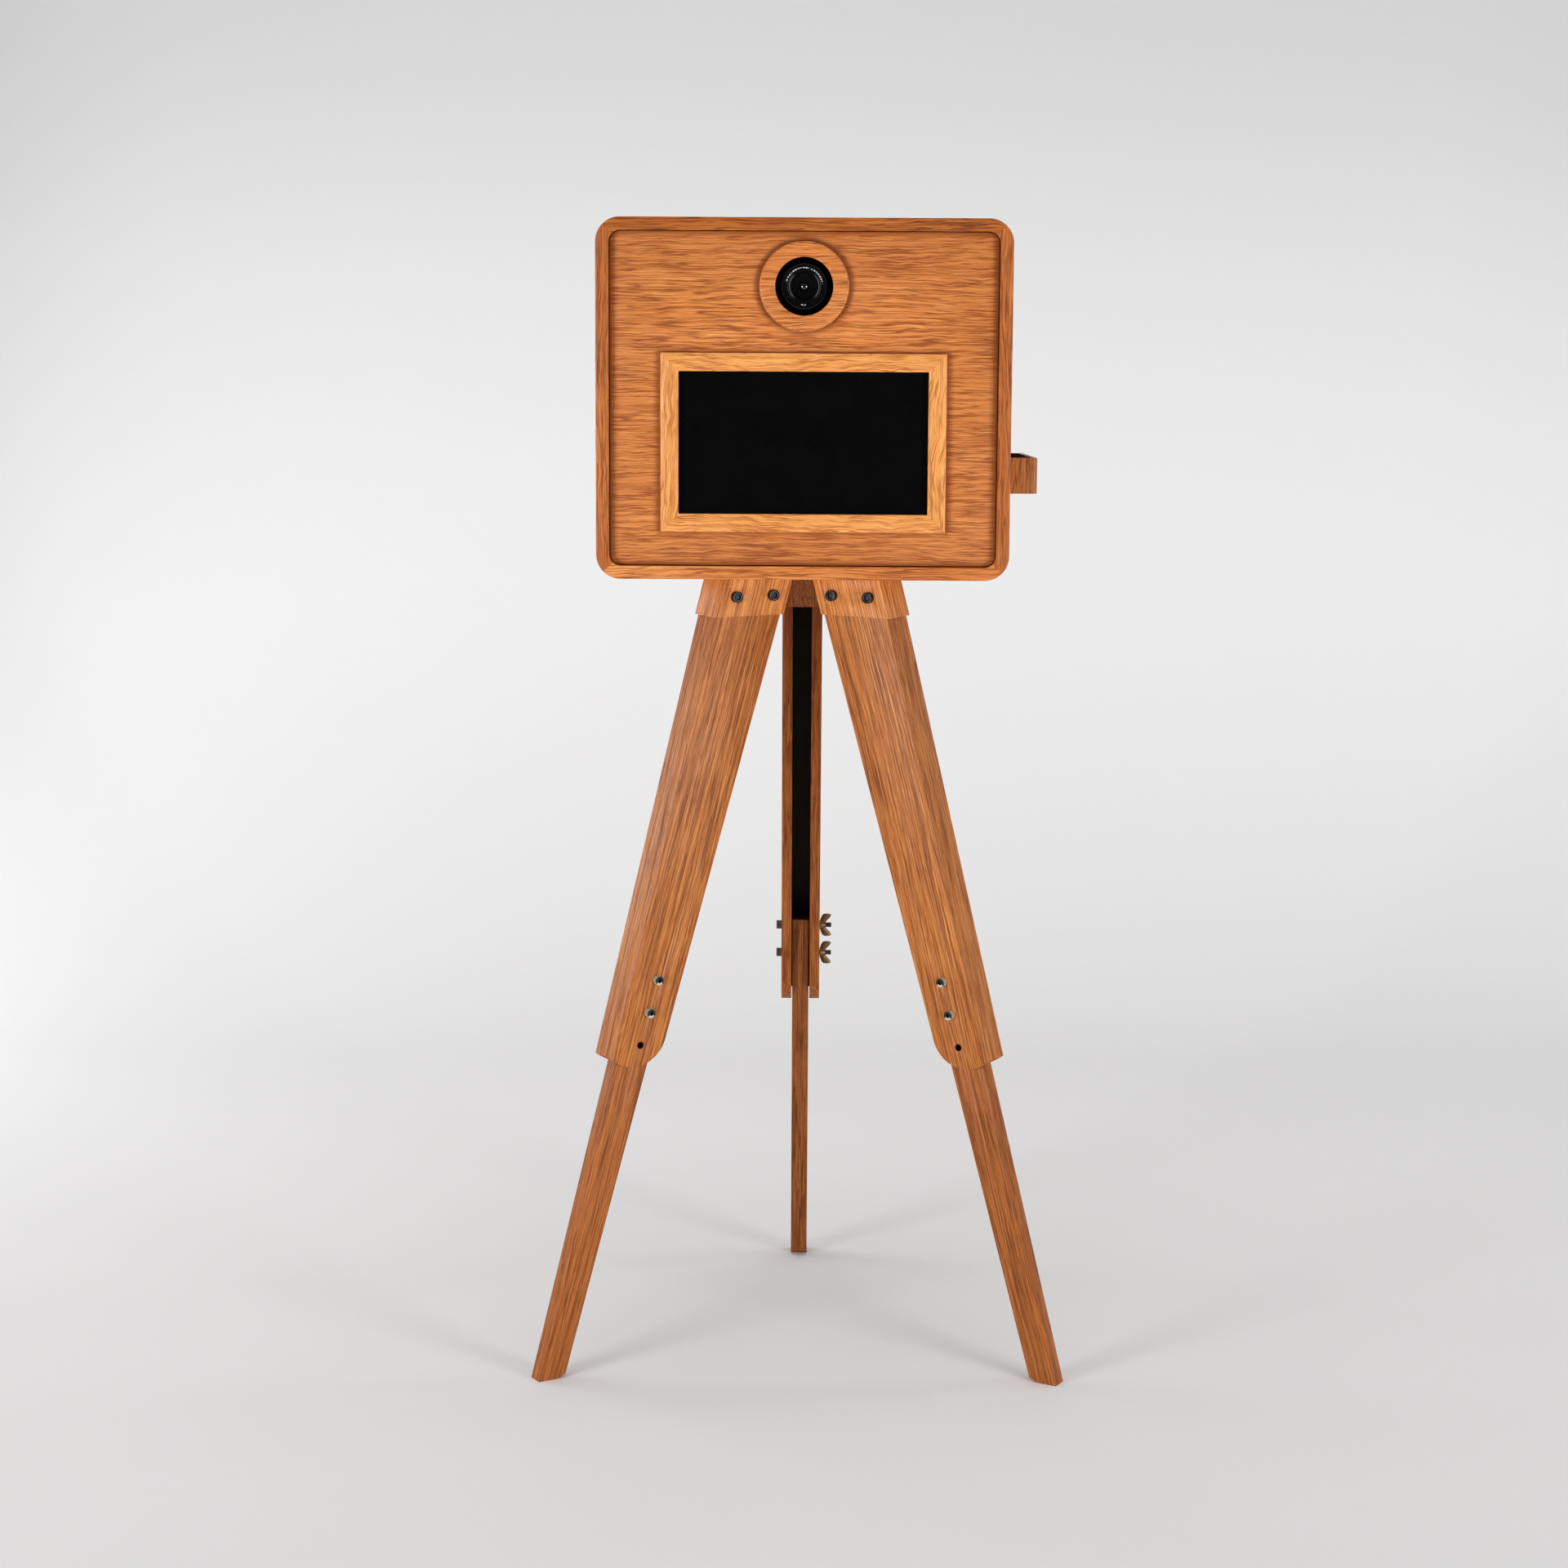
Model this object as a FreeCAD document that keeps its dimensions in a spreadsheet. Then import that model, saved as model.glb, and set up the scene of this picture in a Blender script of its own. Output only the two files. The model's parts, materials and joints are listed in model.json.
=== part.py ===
import FreeCAD, Part
import math
import os
import types
import Sketcher

# Wooden photo booth on a three-legged stand.
# Frame: origin on the floor at the middle of the footprint, +Z up, the lens and screen face -Y.
# All lengths are millimetres.

# Driving sizes
driving = {
    # stand
    "boothBase": 1137,        # underside of the cabinet above the floor
    "legTopReach": 87,        # leg axis from the stand's axis, at the cabinet's underside
    "footReach": 413.5,       # leg axis from the stand's axis, at the floor
    "capDepth": 57,           # height of a leg cap
    "capWidth": 110.5,        # cap, level across the leg's plane
    "capThickness": 60,
    "capWall": 13,
    "upperTopWidth": 100.5,   # upper leg, level width under the cap
    "upperEndWidth": 75,      # upper leg, level width at its lower end
    "upperEnd": 459,          # lower outer corner of the upper leg
    "upperEndRadius": 51,     # round of the cheeks' lower end
    "upperEndRise": 25,       # how much higher the round meets the cheek's inner edge
    "cheekThickness": 15,
    "channelGap": 28,         # between the two cheeks
    "outerBoard": 12.5,       # outer board of the channel, level thickness
    "lowerClearance": 1.5,    # each side of the lower leg, inside the channel
    "lowerTop": 583,          # upper end of the lower leg
    "lowerInset": 2.5,        # lower leg's middle, inwards from the leg axis
    "footWidth": 40,
    "lowerTopWidth": 55,
    "footCut": 10,            # bevel on the inner edge of the foot
    "footCutRise": 6,
    "legTravel": 55,
    "upperBolt": 569,         # height of the upper clamp bolt
    "boltPitch": 46,          # drop from one clamp hole to the next
    "boltRadius": 3.9,
    "boltHoleRadius": 4.3,
    "spareHoleRadius": 5.2,   # the open hole under the two bolts
    "boltHeadRadius": 6.5,
    "boltHeadHeight": 8,
    "boltKey": 6,             # hexagon key size across flats
    "wingSpan": 36,
    "wingHeight": 18,
    "wingThickness": 3.6,
    "wingHub": 7,
    "wingHubTop": 5.7,
    "wingHubRise": 9,
    "wingRoot": 5.6,          # where a wing leaves the hub, from its axis
    "runningGap": 0.05,       # shaft in hole
    "faceGap": 0.3,           # between faces that slide past each other
    "capBoltRadius": 5,
    "capBoltHeadRadius": 8,
    "capBoltHeadHeight": 6,
    "capBoltKey": 8,
    "capBoltRise": 28,        # above the cap's lower edge
    "capBoltOffset": 29.5,    # each side of the leg axis
    "dowelRadius": 4,
    "dowelHalf": 20,
    "dowelOffset": 28,
    "plateRadius": 110,
    "plateThickness": 5,
    "plateScrewRadius": 4,
    "plateScrewHead": 6.8,    # radius of its head
    "plateScrewHeadRise": 4,
    "plateScrewReach": 34,    # screw below the cabinet's underside
    "plateScrewOffset": 9,
    # cabinet
    "boothWidth": 575,
    "boothHeight": 498,
    "boothDepth": 270,
    "wall": 18,
    "cornerRadius": 34,
    "lipDepth": 20,
    "panelSetback": 12,
    "panelThickness": 12,
    "panelGap": 1,            # between the panel and the cabinet all round
    "battenWidth": 24,
    "battenDepth": 14,
    # screen
    "screenWidth": 346,
    "screenHeight": 197,
    "screenRise": 189.5,      # screen centre above the cabinet's underside
    "screenRail": 25,
    "screenRailDepth": 10,
    "glassOverlap": 10,
    "glassThickness": 4,
    "displayDepth": 12,
    "displayMargin": 3,
    "chassisDepth": 22,
    "chassisInset": 12,
    "strapWidth": 25,
    "strapThickness": 3,
    "strapSpread": 100,
    "strapMargin": 22,
    # camera
    "lensRise": 404.5,        # lens axis above the cabinet's underside
    "ringRadius": 62,
    "ringHole": 40,
    "ringDepth": 10,
    "lensRadius": 31,
    "lensCore": 29,
    "lensBore": 26,
    "lensSetback": 14,
    "lensLength": 70,
    "lensNose": 9,            # rim in front of the focus ring
    "lensMount": 14,          # barrel behind the zoom ring
    "lensMountBore": 21,
    "focusLength": 14,
    "ringSpacing": 3,         # between the focus ring and the zoom ring
    "elementFront": 4.5,      # front element's crown, behind the rim
    "elementEdge": 9,
    "elementBack": 13.5,
    "elementCurve": 78,
    "focusRadius": 32,
    "zoomRadius": 34,
    "ringLap": 1,             # zoom ring above the barrel behind it
    "cameraWidth": 132,
    "cameraHeight": 92,
    "cameraDepth": 52,
    "shoulderDrop": 14,       # camera's shoulders below its full height
    "prismBase": 28,          # half widths and height of the hump on top
    "prismTop": 20,
    "prismRise": 22,
    "gripDepth": 16,
    "gripWidth": 26,
    "bracketWidth": 90,
    "bracketThickness": 4,
    "bracketReach": 41.6,     # under the camera body
    "bracketFlange": 26,
    "knobRadius": 12,
    "knobHeight": 9,
    "knobShaft": 3.1,
    "knobThread": 9,          # how far its shaft goes into the camera
    # shelf, printer, computer and supply
    "shelfRise": 96,
    "shelfThickness": 12,
    "shelfBackGap": 8,
    "printerWidth": 172,
    "printerLength": 142,
    "printerHeight": 63,
    "printerWallGap": 1.5,
    "printerFrontGap": 12,
    "printerMouth": 20,
    "computerWidth": 190,
    "computerDepth": 170,
    "computerHeight": 44,
    "computerSideGap": 20,
    "computerFrontGap": 6,
    "supplyWidth": 130,
    "supplyDepth": 50,
    "supplyHeight": 46,
    # print slot and catch tray
    "slotWidth": 108,
    "slotHeight": 8,
    "slotRise": 157,          # middle of the print slot above the cabinet's underside
    "trayRise": 115.5,        # tray's underside above the cabinet's underside
    "trayHeight": 50.5,
    "trayLength": 124,
    "trayFront": 44,          # how far the tray stands out at its front end
    "trayRear": 30,
    "trayWall": 6,
    "trayCorner": 6,
    # rear door
    "doorThickness": 15,
    "doorGap": 2,
    "stopWidth": 18,
    "stopDepth": 14,
    "hingeHeight": 60,
    "hingeRise": 110,         # hinge centre above or below the door's middle
    "leafWidth": 15,
    "leafGap": 1.1,           # each side of the pin's axis
    "leafThickness": 2,
    "knuckleRadius": 3.5,
    "pinRadius": 2,
    "ventWidth": 90,
    "ventHeight": 6,
    "ventPitch": 14,
    "ventRise": 90,           # lowest vent above the door's middle
    "ventSpread": 67.5,       # middle of a vent from the door's middle
    "lockInset": 32,          # lock's axis from the door's edge
    "lockRadius": 9,
    "lockRim": 11,
    "lockPlug": 6,
    "camLength": 26,
    "camThickness": 2.5,
    "keyWidth": 1.2,
    "keyHeight": 8,
    # inlet and switch
    "inletRise": 64,          # inlet module's centre above the cabinet's underside
    "inletFromRear": 70,
    "inletWidth": 34,
    "inletHeight": 66,
    "inletDepth": 36,
    "inletFlange": 2,
    "inletRim": 3,            # flange round the housing
    "socketWidth": 24,
    "socketHeight": 17,
    "socketDepth": 17,
    "socketLow": 8,           # above the flange's lower edge
    "pinLength": 15,
    "pinWidth": 2,
    "pinHeight": 4,
    "pinSpread": 7,           # the two outer pins from the middle
    "pinLow": 6,              # outer pins above the socket's floor
    "pinHigh": 11,
    "rockerWidth": 18,
    "rockerHeight": 25,
    "rockerDrop": 7,          # window below the flange's upper edge
    "rockerDepth": 14,
    "pivotDepth": 6,          # behind the cabinet's face
    "pivotRadius": 1.5,
    "pivotReach": 2.5,        # each side of the rocker
    "rockerTrim": 2.7,        # rocker's ends short of its window
    "rockerTail": 4,          # behind the pivot
    "rockerHigh": 11,         # upper edge, middle and lower edge out from the pivot
    "rockerMiddle": 8.5,
    "rockerLow": 5.5,
    "rockerDeep": 2,          # thickness at its two edges
}

document = FreeCAD.newDocument("photo_booth")
sheet = document.addObject("Spreadsheet::Sheet", "Sizes")
for row, (alias, number) in enumerate(driving.items(), start=1):
    sheet.set("A%d" % row, alias)
    sheet.set("B%d" % row, str(number))
    sheet.setAlias("B%d" % row, alias)
document.recompute()


# A length that carries both its number and the sheet expression it comes from.
class Size:
    def __init__(self, text, number):
        self.text = text
        self.number = float(number)

    def __add__(self, other):
        return combine(self, other, "+", lambda a, b: a + b)

    def __sub__(self, other):
        return combine(self, other, "-", lambda a, b: a - b)

    def __mul__(self, other):
        return combine(self, other, "*", lambda a, b: a * b)

    def __truediv__(self, other):
        return combine(self, other, "/", lambda a, b: a / b)

    def __radd__(self, other):
        return size(other) + self

    def __rsub__(self, other):
        return size(other) - self

    def __rmul__(self, other):
        return size(other) * self

    def __neg__(self):
        return size(0) - self


def size(value):
    return value if isinstance(value, Size) else Size("%.10g" % value, value)


def combine(first, second, sign, work):
    first, second = size(first), size(second)
    return Size("(%s%s%s)" % (first.text, sign, second.text), work(first.number, second.number))


def squareRoot(value):
    return Size("sqrt(%s)" % value.text, math.sqrt(value.number))


s = types.SimpleNamespace(**{alias: Size("Sizes." + alias, sheet.get(alias)) for alias in driving})
zero = size(0)

# Helpers
sequence = iter(range(100000))
nodes = []


def fresh(word):
    return "%s_%d" % (word, next(sequence))


def bind(item, name, value):
    value = size(value)
    item.setExpression(name, value.text)


def place(item, x=0, y=0, z=0, turn=None):
    if turn:
        axis, angle = turn
        item.Placement = FreeCAD.Placement(FreeCAD.Vector(), FreeCAD.Rotation(FreeCAD.Vector(*axis), angle))
    bind(item, "Placement.Base.x", x)
    bind(item, "Placement.Base.y", y)
    bind(item, "Placement.Base.z", z)
    return item


# Makes an item one of the part's own pieces.
def node(item, name):
    item.Label = name
    nodes.append(item)
    return item


def block(x0, x1, y0, y1, z0, z1):
    item = document.addObject("Part::Box", fresh("block"))
    bind(item, "Length", size(x1) - x0)
    bind(item, "Width", size(y1) - y0)
    bind(item, "Height", size(z1) - z0)
    return place(item, x0, y0, z0)


turns = {"x": ((0, 1, 0), 90), "y": ((1, 0, 0), -90), "z": None}


# A cylinder that starts at x, y, z and runs in the positive direction of its axis.
def rod(x, y, z, radius, length, axis="z"):
    item = document.addObject("Part::Cylinder", fresh("rod"))
    bind(item, "Radius", radius)
    bind(item, "Height", length)
    return place(item, x, y, z, turns[axis])


def fuse(*items):
    item = document.addObject("Part::MultiFuse", fresh("fuse"))
    item.Shapes = list(items)
    return item


def cut(base, *tools):
    item = document.addObject("Part::Cut", fresh("cut"))
    item.Base = base
    item.Tool = tools[0] if len(tools) == 1 else fuse(*tools)
    return item


def group(*items):
    item = document.addObject("Part::Compound", fresh("group"))
    item.Links = list(items)
    return item


# Draws a closed outline of corners (x, y) or (x, y, radius): a radius makes the edge that arrives
# there an arc, counter-clockwise when positive.
def draw(sketch, outline):
    corners = [(size(c[0]), size(c[1])) for c in outline]
    first = sketch.GeometryCount
    ends = []
    for index, corner in enumerate(outline):
        start, stop = corners[index - 1], corners[index]
        p = FreeCAD.Vector(start[0].number, start[1].number, 0)
        q = FreeCAD.Vector(stop[0].number, stop[1].number, 0)
        if len(corner) == 2:
            sketch.addGeometry(Part.LineSegment(p, q))
            ends.append((1, 2))
            continue
        radius = size(corner[2])
        side = 1 if radius.number > 0 else -1
        chord = q - p
        reach = math.sqrt(max(radius.number ** 2 - (chord.Length / 2) ** 2, 0))
        middle = (p + q) * 0.5 + FreeCAD.Vector(-chord.y, chord.x, 0).normalize() * reach * side
        circle = Part.Circle(middle, FreeCAD.Vector(0, 0, 1), abs(radius.number))
        low, high = (p, q) if side > 0 else (q, p)
        begin = math.atan2(low.y - middle.y, low.x - middle.x)
        finish = math.atan2(high.y - middle.y, high.x - middle.x)
        sketch.addGeometry(Part.ArcOfCircle(circle, begin, finish + (2 * math.pi if finish < begin else 0)))
        ends.append((1, 2) if side > 0 else (2, 1))
    count = len(outline)
    for index in range(count):
        after = (index + 1) % count
        sketch.addConstraint(Sketcher.Constraint(
            "Coincident", first + index, ends[index][1], first + after, ends[after][0]))
    for index, corner in enumerate(outline):
        for kind, value in zip(("DistanceX", "DistanceY"), corners[index]):
            rule = sketch.addConstraint(Sketcher.Constraint(
                kind, -1, 1, first + index, ends[index][1], value.number))
            sketch.setExpression("Constraints[%d]" % rule, value.text)
        if len(corner) == 3:
            radius = size(corner[2])
            radius = radius if radius.number > 0 else -radius
            rule = sketch.addConstraint(Sketcher.Constraint("Radius", first + index, radius.number))
            sketch.setExpression("Constraints[%d]" % rule, radius.text)


def ring(sketch, x, y, radius):
    x, y, radius = size(x), size(y), size(radius)
    circle = Part.Circle(FreeCAD.Vector(x.number, y.number, 0), FreeCAD.Vector(0, 0, 1), radius.number)
    index = sketch.addGeometry(circle)
    for kind, value in (("DistanceX", x), ("DistanceY", y)):
        rule = sketch.addConstraint(Sketcher.Constraint(kind, -1, 1, index, 3, value.number))
        sketch.setExpression("Constraints[%d]" % rule, value.text)
    rule = sketch.addConstraint(Sketcher.Constraint("Radius", index, radius.number))
    sketch.setExpression("Constraints[%d]" % rule, radius.text)


def sketchOn(body, role, outlines, rings):
    plane = [item for item in body.Origin.OriginFeatures if item.Role == role][0]
    sketch = body.newObject("Sketcher::SketchObject", fresh("sketch"))
    sketch.AttachmentSupport = [(plane, "")]
    sketch.MapMode = "FlatFace"
    for outline in outlines:
        draw(sketch, outline)
    for x, y, radius in rings:
        ring(sketch, x, y, radius)
    return sketch


# A flat piece: outlines padded both ways from an origin plane, with openings cut right through.
def board(thickness, outlines, holes=(), rings=(), role="XZ_Plane"):
    body = document.addObject("PartDesign::Body", fresh("board"))
    pad = body.newObject("PartDesign::Pad", fresh("pad"))
    pad.Profile = sketchOn(body, role, outlines, ())
    pad.SideType = "Symmetric"
    bind(pad, "Length", thickness)
    if holes or rings:
        pocket = body.newObject("PartDesign::Pocket", fresh("pocket"))
        pocket.Profile = sketchOn(body, role, holes, rings)
        pocket.Type = "ThroughAll"
        pocket.SideType = "Symmetric"
    return body


# A turned piece: an outline in the XZ plane of (radius, height) turned about the Z axis.
def turned(outline):
    body = document.addObject("PartDesign::Body", fresh("turned"))
    sketch = sketchOn(body, "XZ_Plane", [outline], ())
    spin = body.newObject("PartDesign::Revolution", fresh("spin"))
    spin.Profile = sketch
    spin.ReferenceAxis = (sketch, ["V_Axis"])
    spin.Angle = 360
    return body


def rectangle(x0, x1, y0, y1):
    return [(x0, y0), (x1, y0), (x1, y1), (x0, y1)]


def rounded(x0, x1, y0, y1, radius):
    x0, x1, y0, y1 = size(x0), size(x1), size(y0), size(y1)
    return [(x1 - radius, y0), (x1, y0 + radius, radius), (x1, y1 - radius), (x1 - radius, y1, radius),
            (x0 + radius, y1), (x0, y1 - radius, radius), (x0, y0 + radius), (x0 + radius, y0, radius)]


# Shared places
overrun = 1                                   # how far a cutting tool runs past the face it opens
lowerThickness = s.channelGap - s.lowerClearance * 2
rearReach = s.footReach - s.lowerInset + s.footWidth / 2
frontReach = rearReach * 0.5 + lowerThickness / 2 * math.cos(math.radians(30))
axisY = (frontReach - rearReach) / 2          # the stand's axis, so that the footprint is centred
front = axisY - s.boothDepth / 2
rear = axisY + s.boothDepth / 2
top = s.boothBase + s.boothHeight
half = s.boothWidth / 2
innerHalf = half - s.wall
innerBase = s.boothBase + s.wall
innerTop = top - s.wall
innerRadius = s.cornerRadius - s.wall
panelFront = front + s.panelSetback
panelBack = panelFront + s.panelThickness
screenMiddle = s.boothBase + s.screenRise
lensHeight = s.boothBase + s.lensRise
capBottom = s.boothBase - s.capDepth
shelfTop = s.boothBase + s.shelfRise + s.shelfThickness
slotMiddle = s.boothBase + s.slotRise
displayBack = panelFront + s.glassThickness + s.displayDepth + s.chassisDepth + s.strapThickness
printerFront = displayBack + s.printerFrontGap
printerMiddle = printerFront + s.printerWidth / 2
slotMouth = (printerMiddle - s.slotWidth / 2, printerMiddle + s.slotWidth / 2,
             slotMiddle - s.slotHeight / 2, slotMiddle + s.slotHeight / 2)

legs = {"left": (-150, 1), "right": (-30, -1), "rear": (90, 1)}     # azimuth, side that the bolt heads face


# Radial place of the leg's axis at a height.
def legAxis(height):
    return s.legTopReach + (s.boothBase - height) * (s.footReach - s.legTopReach) / s.boothBase


def lowerAxis(height):
    return legAxis(size(height)) - s.lowerInset


def upperHalf(height):
    taper = (s.upperTopWidth - s.upperEndWidth) / (capBottom - s.upperEnd)
    return (s.upperEndWidth + (size(height) - s.upperEnd) * taper) / 2


def lowerHalf(height):
    return (s.footWidth + size(height) * (s.lowerTopWidth - s.footWidth) / s.lowerTop) / 2


# Turns a piece made in the leg's own plane (X outwards, Z up) to the leg's azimuth.
def toLeg(item, azimuth):
    return place(item, 0, axisY, 0, ((0, 0, 1), azimuth))


capOffsets = (-s.capBoltOffset, s.capBoltOffset)
capBoltHeight = capBottom + s.capBoltRise
capMiddle = legAxis(capBoltHeight)
plateScrews = (-s.plateScrewOffset, s.plateScrewOffset)
dowels = [(reach, side) for reach in (-s.dowelOffset, s.dowelOffset) for side in (-1, 1)]
cheekMiddle = (s.channelGap + s.cheekThickness) / 2
outerHalf = s.channelGap / 2 + s.cheekThickness
clampHeights = [s.upperBolt - s.boltPitch * index for index in range(3)]


def dowel(reach, side):
    middle = legAxis(capBottom)
    return rod(middle + reach, cheekMiddle * side, capBottom - s.dowelHalf, s.dowelRadius, s.dowelHalf * 2)


def plateScrewHole(offset):
    return rod(s.legTopReach + offset, zero, s.boothBase - s.plateScrewReach, s.plateScrewRadius,
               s.plateScrewReach + s.wall + s.plateThickness)


# Legs
def makeCap(name, azimuth):
    half = s.capWidth / 2
    outline = [(legAxis(s.boothBase) - half, s.boothBase), (legAxis(capBottom) - half, capBottom),
               (legAxis(capBottom) + half, capBottom), (legAxis(s.boothBase) + half, s.boothBase)]
    cap = board(s.capThickness, [outline])
    above, below = s.boothBase + overrun, capBottom - overrun
    slot = [(legAxis(above) - half - overrun, above), (legAxis(below) - half - overrun, below),
            (legAxis(below) + half - s.capWall, below), (legAxis(above) + half - s.capWall, above)]
    tools = [board(s.channelGap, [slot])]
    tools += [rod(capMiddle + offset, -s.capThickness, capBoltHeight, s.capBoltRadius,
                  s.capThickness * 2, "y") for offset in capOffsets]
    tools += [dowel(reach, side) for reach, side in dowels]
    node(toLeg(cut(cap, *tools), azimuth), "leg_cap_" + name)


def makeHeadBlock(azimuth):
    inset = s.capWidth / 2 - s.faceGap
    outline = [(legAxis(s.boothBase) - inset, s.boothBase), (legAxis(capBottom) - inset, capBottom),
               (legAxis(capBottom) + inset - s.capWall, capBottom),
               (legAxis(s.boothBase) + inset - s.capWall, s.boothBase)]
    tools = [rod(capMiddle + offset, -s.capThickness, capBoltHeight, s.capBoltRadius,
                 s.capThickness * 2, "y") for offset in capOffsets]
    tools += [plateScrewHole(offset) for offset in plateScrews]
    return toLeg(cut(board(s.channelGap - s.faceGap, [outline]), *tools), azimuth)


def makeUpperLeg(name, azimuth):
    innerEnd = s.upperEnd + s.upperEndRise
    cheekOutline = [(legAxis(capBottom) - upperHalf(capBottom), capBottom),
                    (legAxis(innerEnd) - upperHalf(innerEnd), innerEnd),
                    (legAxis(s.upperEnd) + upperHalf(s.upperEnd), s.upperEnd, s.upperEndRadius),
                    (legAxis(capBottom) + upperHalf(capBottom), capBottom)]
    radii = (s.boltHoleRadius, s.boltHoleRadius, s.spareHoleRadius)
    holes = [(legAxis(height), height, radius) for height, radius in zip(clampHeights, radii)]
    cheeks = []
    for side in (-1, 1):
        cheek = place(board(s.cheekThickness, [cheekOutline], rings=holes), 0, cheekMiddle * side, 0)
        cheeks.append(cut(cheek, *[dowel(reach, way) for reach, way in dowels if way == side]))
    node(toLeg(group(*cheeks), azimuth), "upper_leg_%s_cheeks" % name)
    boardOutline = [(legAxis(s.upperEnd) + upperHalf(s.upperEnd) - s.outerBoard, s.upperEnd),
                    (legAxis(s.upperEnd) + upperHalf(s.upperEnd), s.upperEnd),
                    (legAxis(capBottom) + upperHalf(capBottom), capBottom),
                    (legAxis(capBottom) + upperHalf(capBottom) - s.outerBoard, capBottom)]
    node(toLeg(board(s.channelGap, [boardOutline]), azimuth), "upper_leg_%s_outer_board" % name)


def makeLowerLeg(name, azimuth):
    outline = [(lowerAxis(s.lowerTop) - lowerHalf(s.lowerTop), s.lowerTop),
               (lowerAxis(s.footCutRise) - lowerHalf(s.footCutRise), s.footCutRise),
               (lowerAxis(0) - lowerHalf(0) + s.footCut, 0),
               (lowerAxis(0) + lowerHalf(0), 0),
               (lowerAxis(s.lowerTop) + lowerHalf(s.lowerTop), s.lowerTop)]
    slope = (s.footReach - s.legTopReach) / s.boothBase
    drop = s.legTravel / squareRoot(slope * slope + 1)
    high, low = s.upperBolt, s.upperBolt - s.boltPitch - drop
    across = s.boltHoleRadius / squareRoot(slope * slope + 1)
    along = across * slope
    slot = [(legAxis(high) - across, high - along), (legAxis(low) - across, low - along),
            (legAxis(low) + across, low + along), (legAxis(high) + across, high + along)]
    ends = [rod(legAxis(height), -lowerThickness, height, s.boltHoleRadius, lowerThickness * 2, "y")
            for height in (high, low)]
    leg = cut(board(lowerThickness, [outline], holes=[slot]), *ends)
    node(toLeg(leg, azimuth), "lower_leg_" + name)


# A hexagon key socket in a head that faces +Y, from the face at y.
def keySocket(x, y, z, key, depth):
    item = document.addObject("Part::Prism", fresh("socket"))
    item.Polygon = 6
    bind(item, "Circumradius", key / squareRoot(size(3)))
    bind(item, "Height", depth)
    return place(item, x, y, z, turns["y"])


def makeClampBolt(height, side):
    x = legAxis(height)
    reach = outerHalf + s.wingHeight
    shaft = rod(x, -reach, height, s.boltRadius, reach + outerHalf, "y")
    head = rod(x, outerHalf, height, s.boltHeadRadius, s.boltHeadHeight, "y")
    socket = keySocket(x, outerHalf + s.boltHeadHeight / 2, height, s.boltKey, s.boltHeadHeight)
    bolt = cut(fuse(shaft, head), socket)
    return bolt if side > 0 else flipped(bolt, x, height)


# Turns a piece half round about a level radial line, so that +Y becomes -Y.
def flipped(item, x, height):
    holder = group(item)
    return place(holder, 0, 0, height * 2, ((1, 0, 0), 180))


def makeWingNut(label, azimuth, side, height):
    x = legAxis(height)
    start = outerHalf + s.faceGap
    reach, rise, low, root = s.wingSpan / 2, s.wingHeight, s.wingHubRise, s.wingRoot
    bore = s.boltRadius + s.runningGap
    hub = turned([(bore, 0), (s.wingHub, 0), (s.wingHubTop, low), (bore, low)])
    elbow, inner, outer = reach * 0.72, reach * 0.66, reach * 0.93
    tipRound, innerRound = s.wingThickness, s.wingThickness * 1.6
    wings = []
    for way in (-1, 1):
        outline = [(root * way, low * 0.12), (elbow * way, low * 0.75), (reach * way, rise * 0.78),
                   (outer * way, rise, tipRound * way), (inner * way, rise * 0.93, innerRound * way),
                   (root * way, low * 0.95)]
        wings.append(board(s.wingThickness, [outline]))
    nut = group(fuse(hub, *wings))
    # the nut's own Z runs along the bolt, away from the cheek; its wings lie up and down the leg
    along = FreeCAD.Rotation(FreeCAD.Vector(1, 0, 0), 90 if side > 0 else -90)
    nut.Placement = FreeCAD.Placement(FreeCAD.Vector(), along.multiply(FreeCAD.Rotation(
        FreeCAD.Vector(0, 0, 1), 90)))
    bind(nut, "Placement.Base.x", x)
    bind(nut, "Placement.Base.y", -start * side)
    bind(nut, "Placement.Base.z", height)
    node(toLeg(group(nut), azimuth), label)


def makeCapBolt(offset, side):
    x = capMiddle + offset
    face = s.capThickness / 2
    shaft = rod(x, -face - s.capBoltHeadHeight, capBoltHeight, s.capBoltRadius,
                face * 2 + s.capBoltHeadHeight, "y")
    head = rod(x, face, capBoltHeight, s.capBoltHeadRadius, s.capBoltHeadHeight, "y")
    socket = keySocket(x, face + s.capBoltHeadHeight / 2, capBoltHeight, s.capBoltKey, s.capBoltHeadHeight)
    bolt = cut(fuse(shaft, head), socket)
    outer = rod(x, -face - s.capBoltHeadHeight, capBoltHeight, s.capBoltHeadRadius, s.capBoltHeadHeight, "y")
    nut = cut(outer, rod(x, -face * 2, capBoltHeight, s.capBoltRadius, face * 2, "y"))
    pair = group(bolt, nut)
    return group(pair) if side > 0 else group(flipped(pair, x, capBoltHeight))


headBlocks, clampBolts, capBolts, legDowels, plateHoles = [], [], [], [], []
for legName, (azimuth, headSide) in legs.items():
    makeCap(legName, azimuth)
    headBlocks.append(makeHeadBlock(azimuth))
    makeUpperLeg(legName, azimuth)
    makeLowerLeg(legName, azimuth)
    for boltName, height in zip(("upper", "lower"), clampHeights):
        clampBolts.append(toLeg(group(makeClampBolt(height, headSide)), azimuth))
        makeWingNut("wing_nut_%s_%s" % (legName, boltName), azimuth, headSide, height)
    for offset in capOffsets:
        capBolts.append(toLeg(makeCapBolt(offset, headSide), azimuth))
    legDowels.append(toLeg(group(*[dowel(reach, side) for reach, side in dowels]), azimuth))
    plateHoles.append(toLeg(group(*[plateScrewHole(offset) for offset in plateScrews]), azimuth))
node(group(*headBlocks), "head_blocks")
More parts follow.
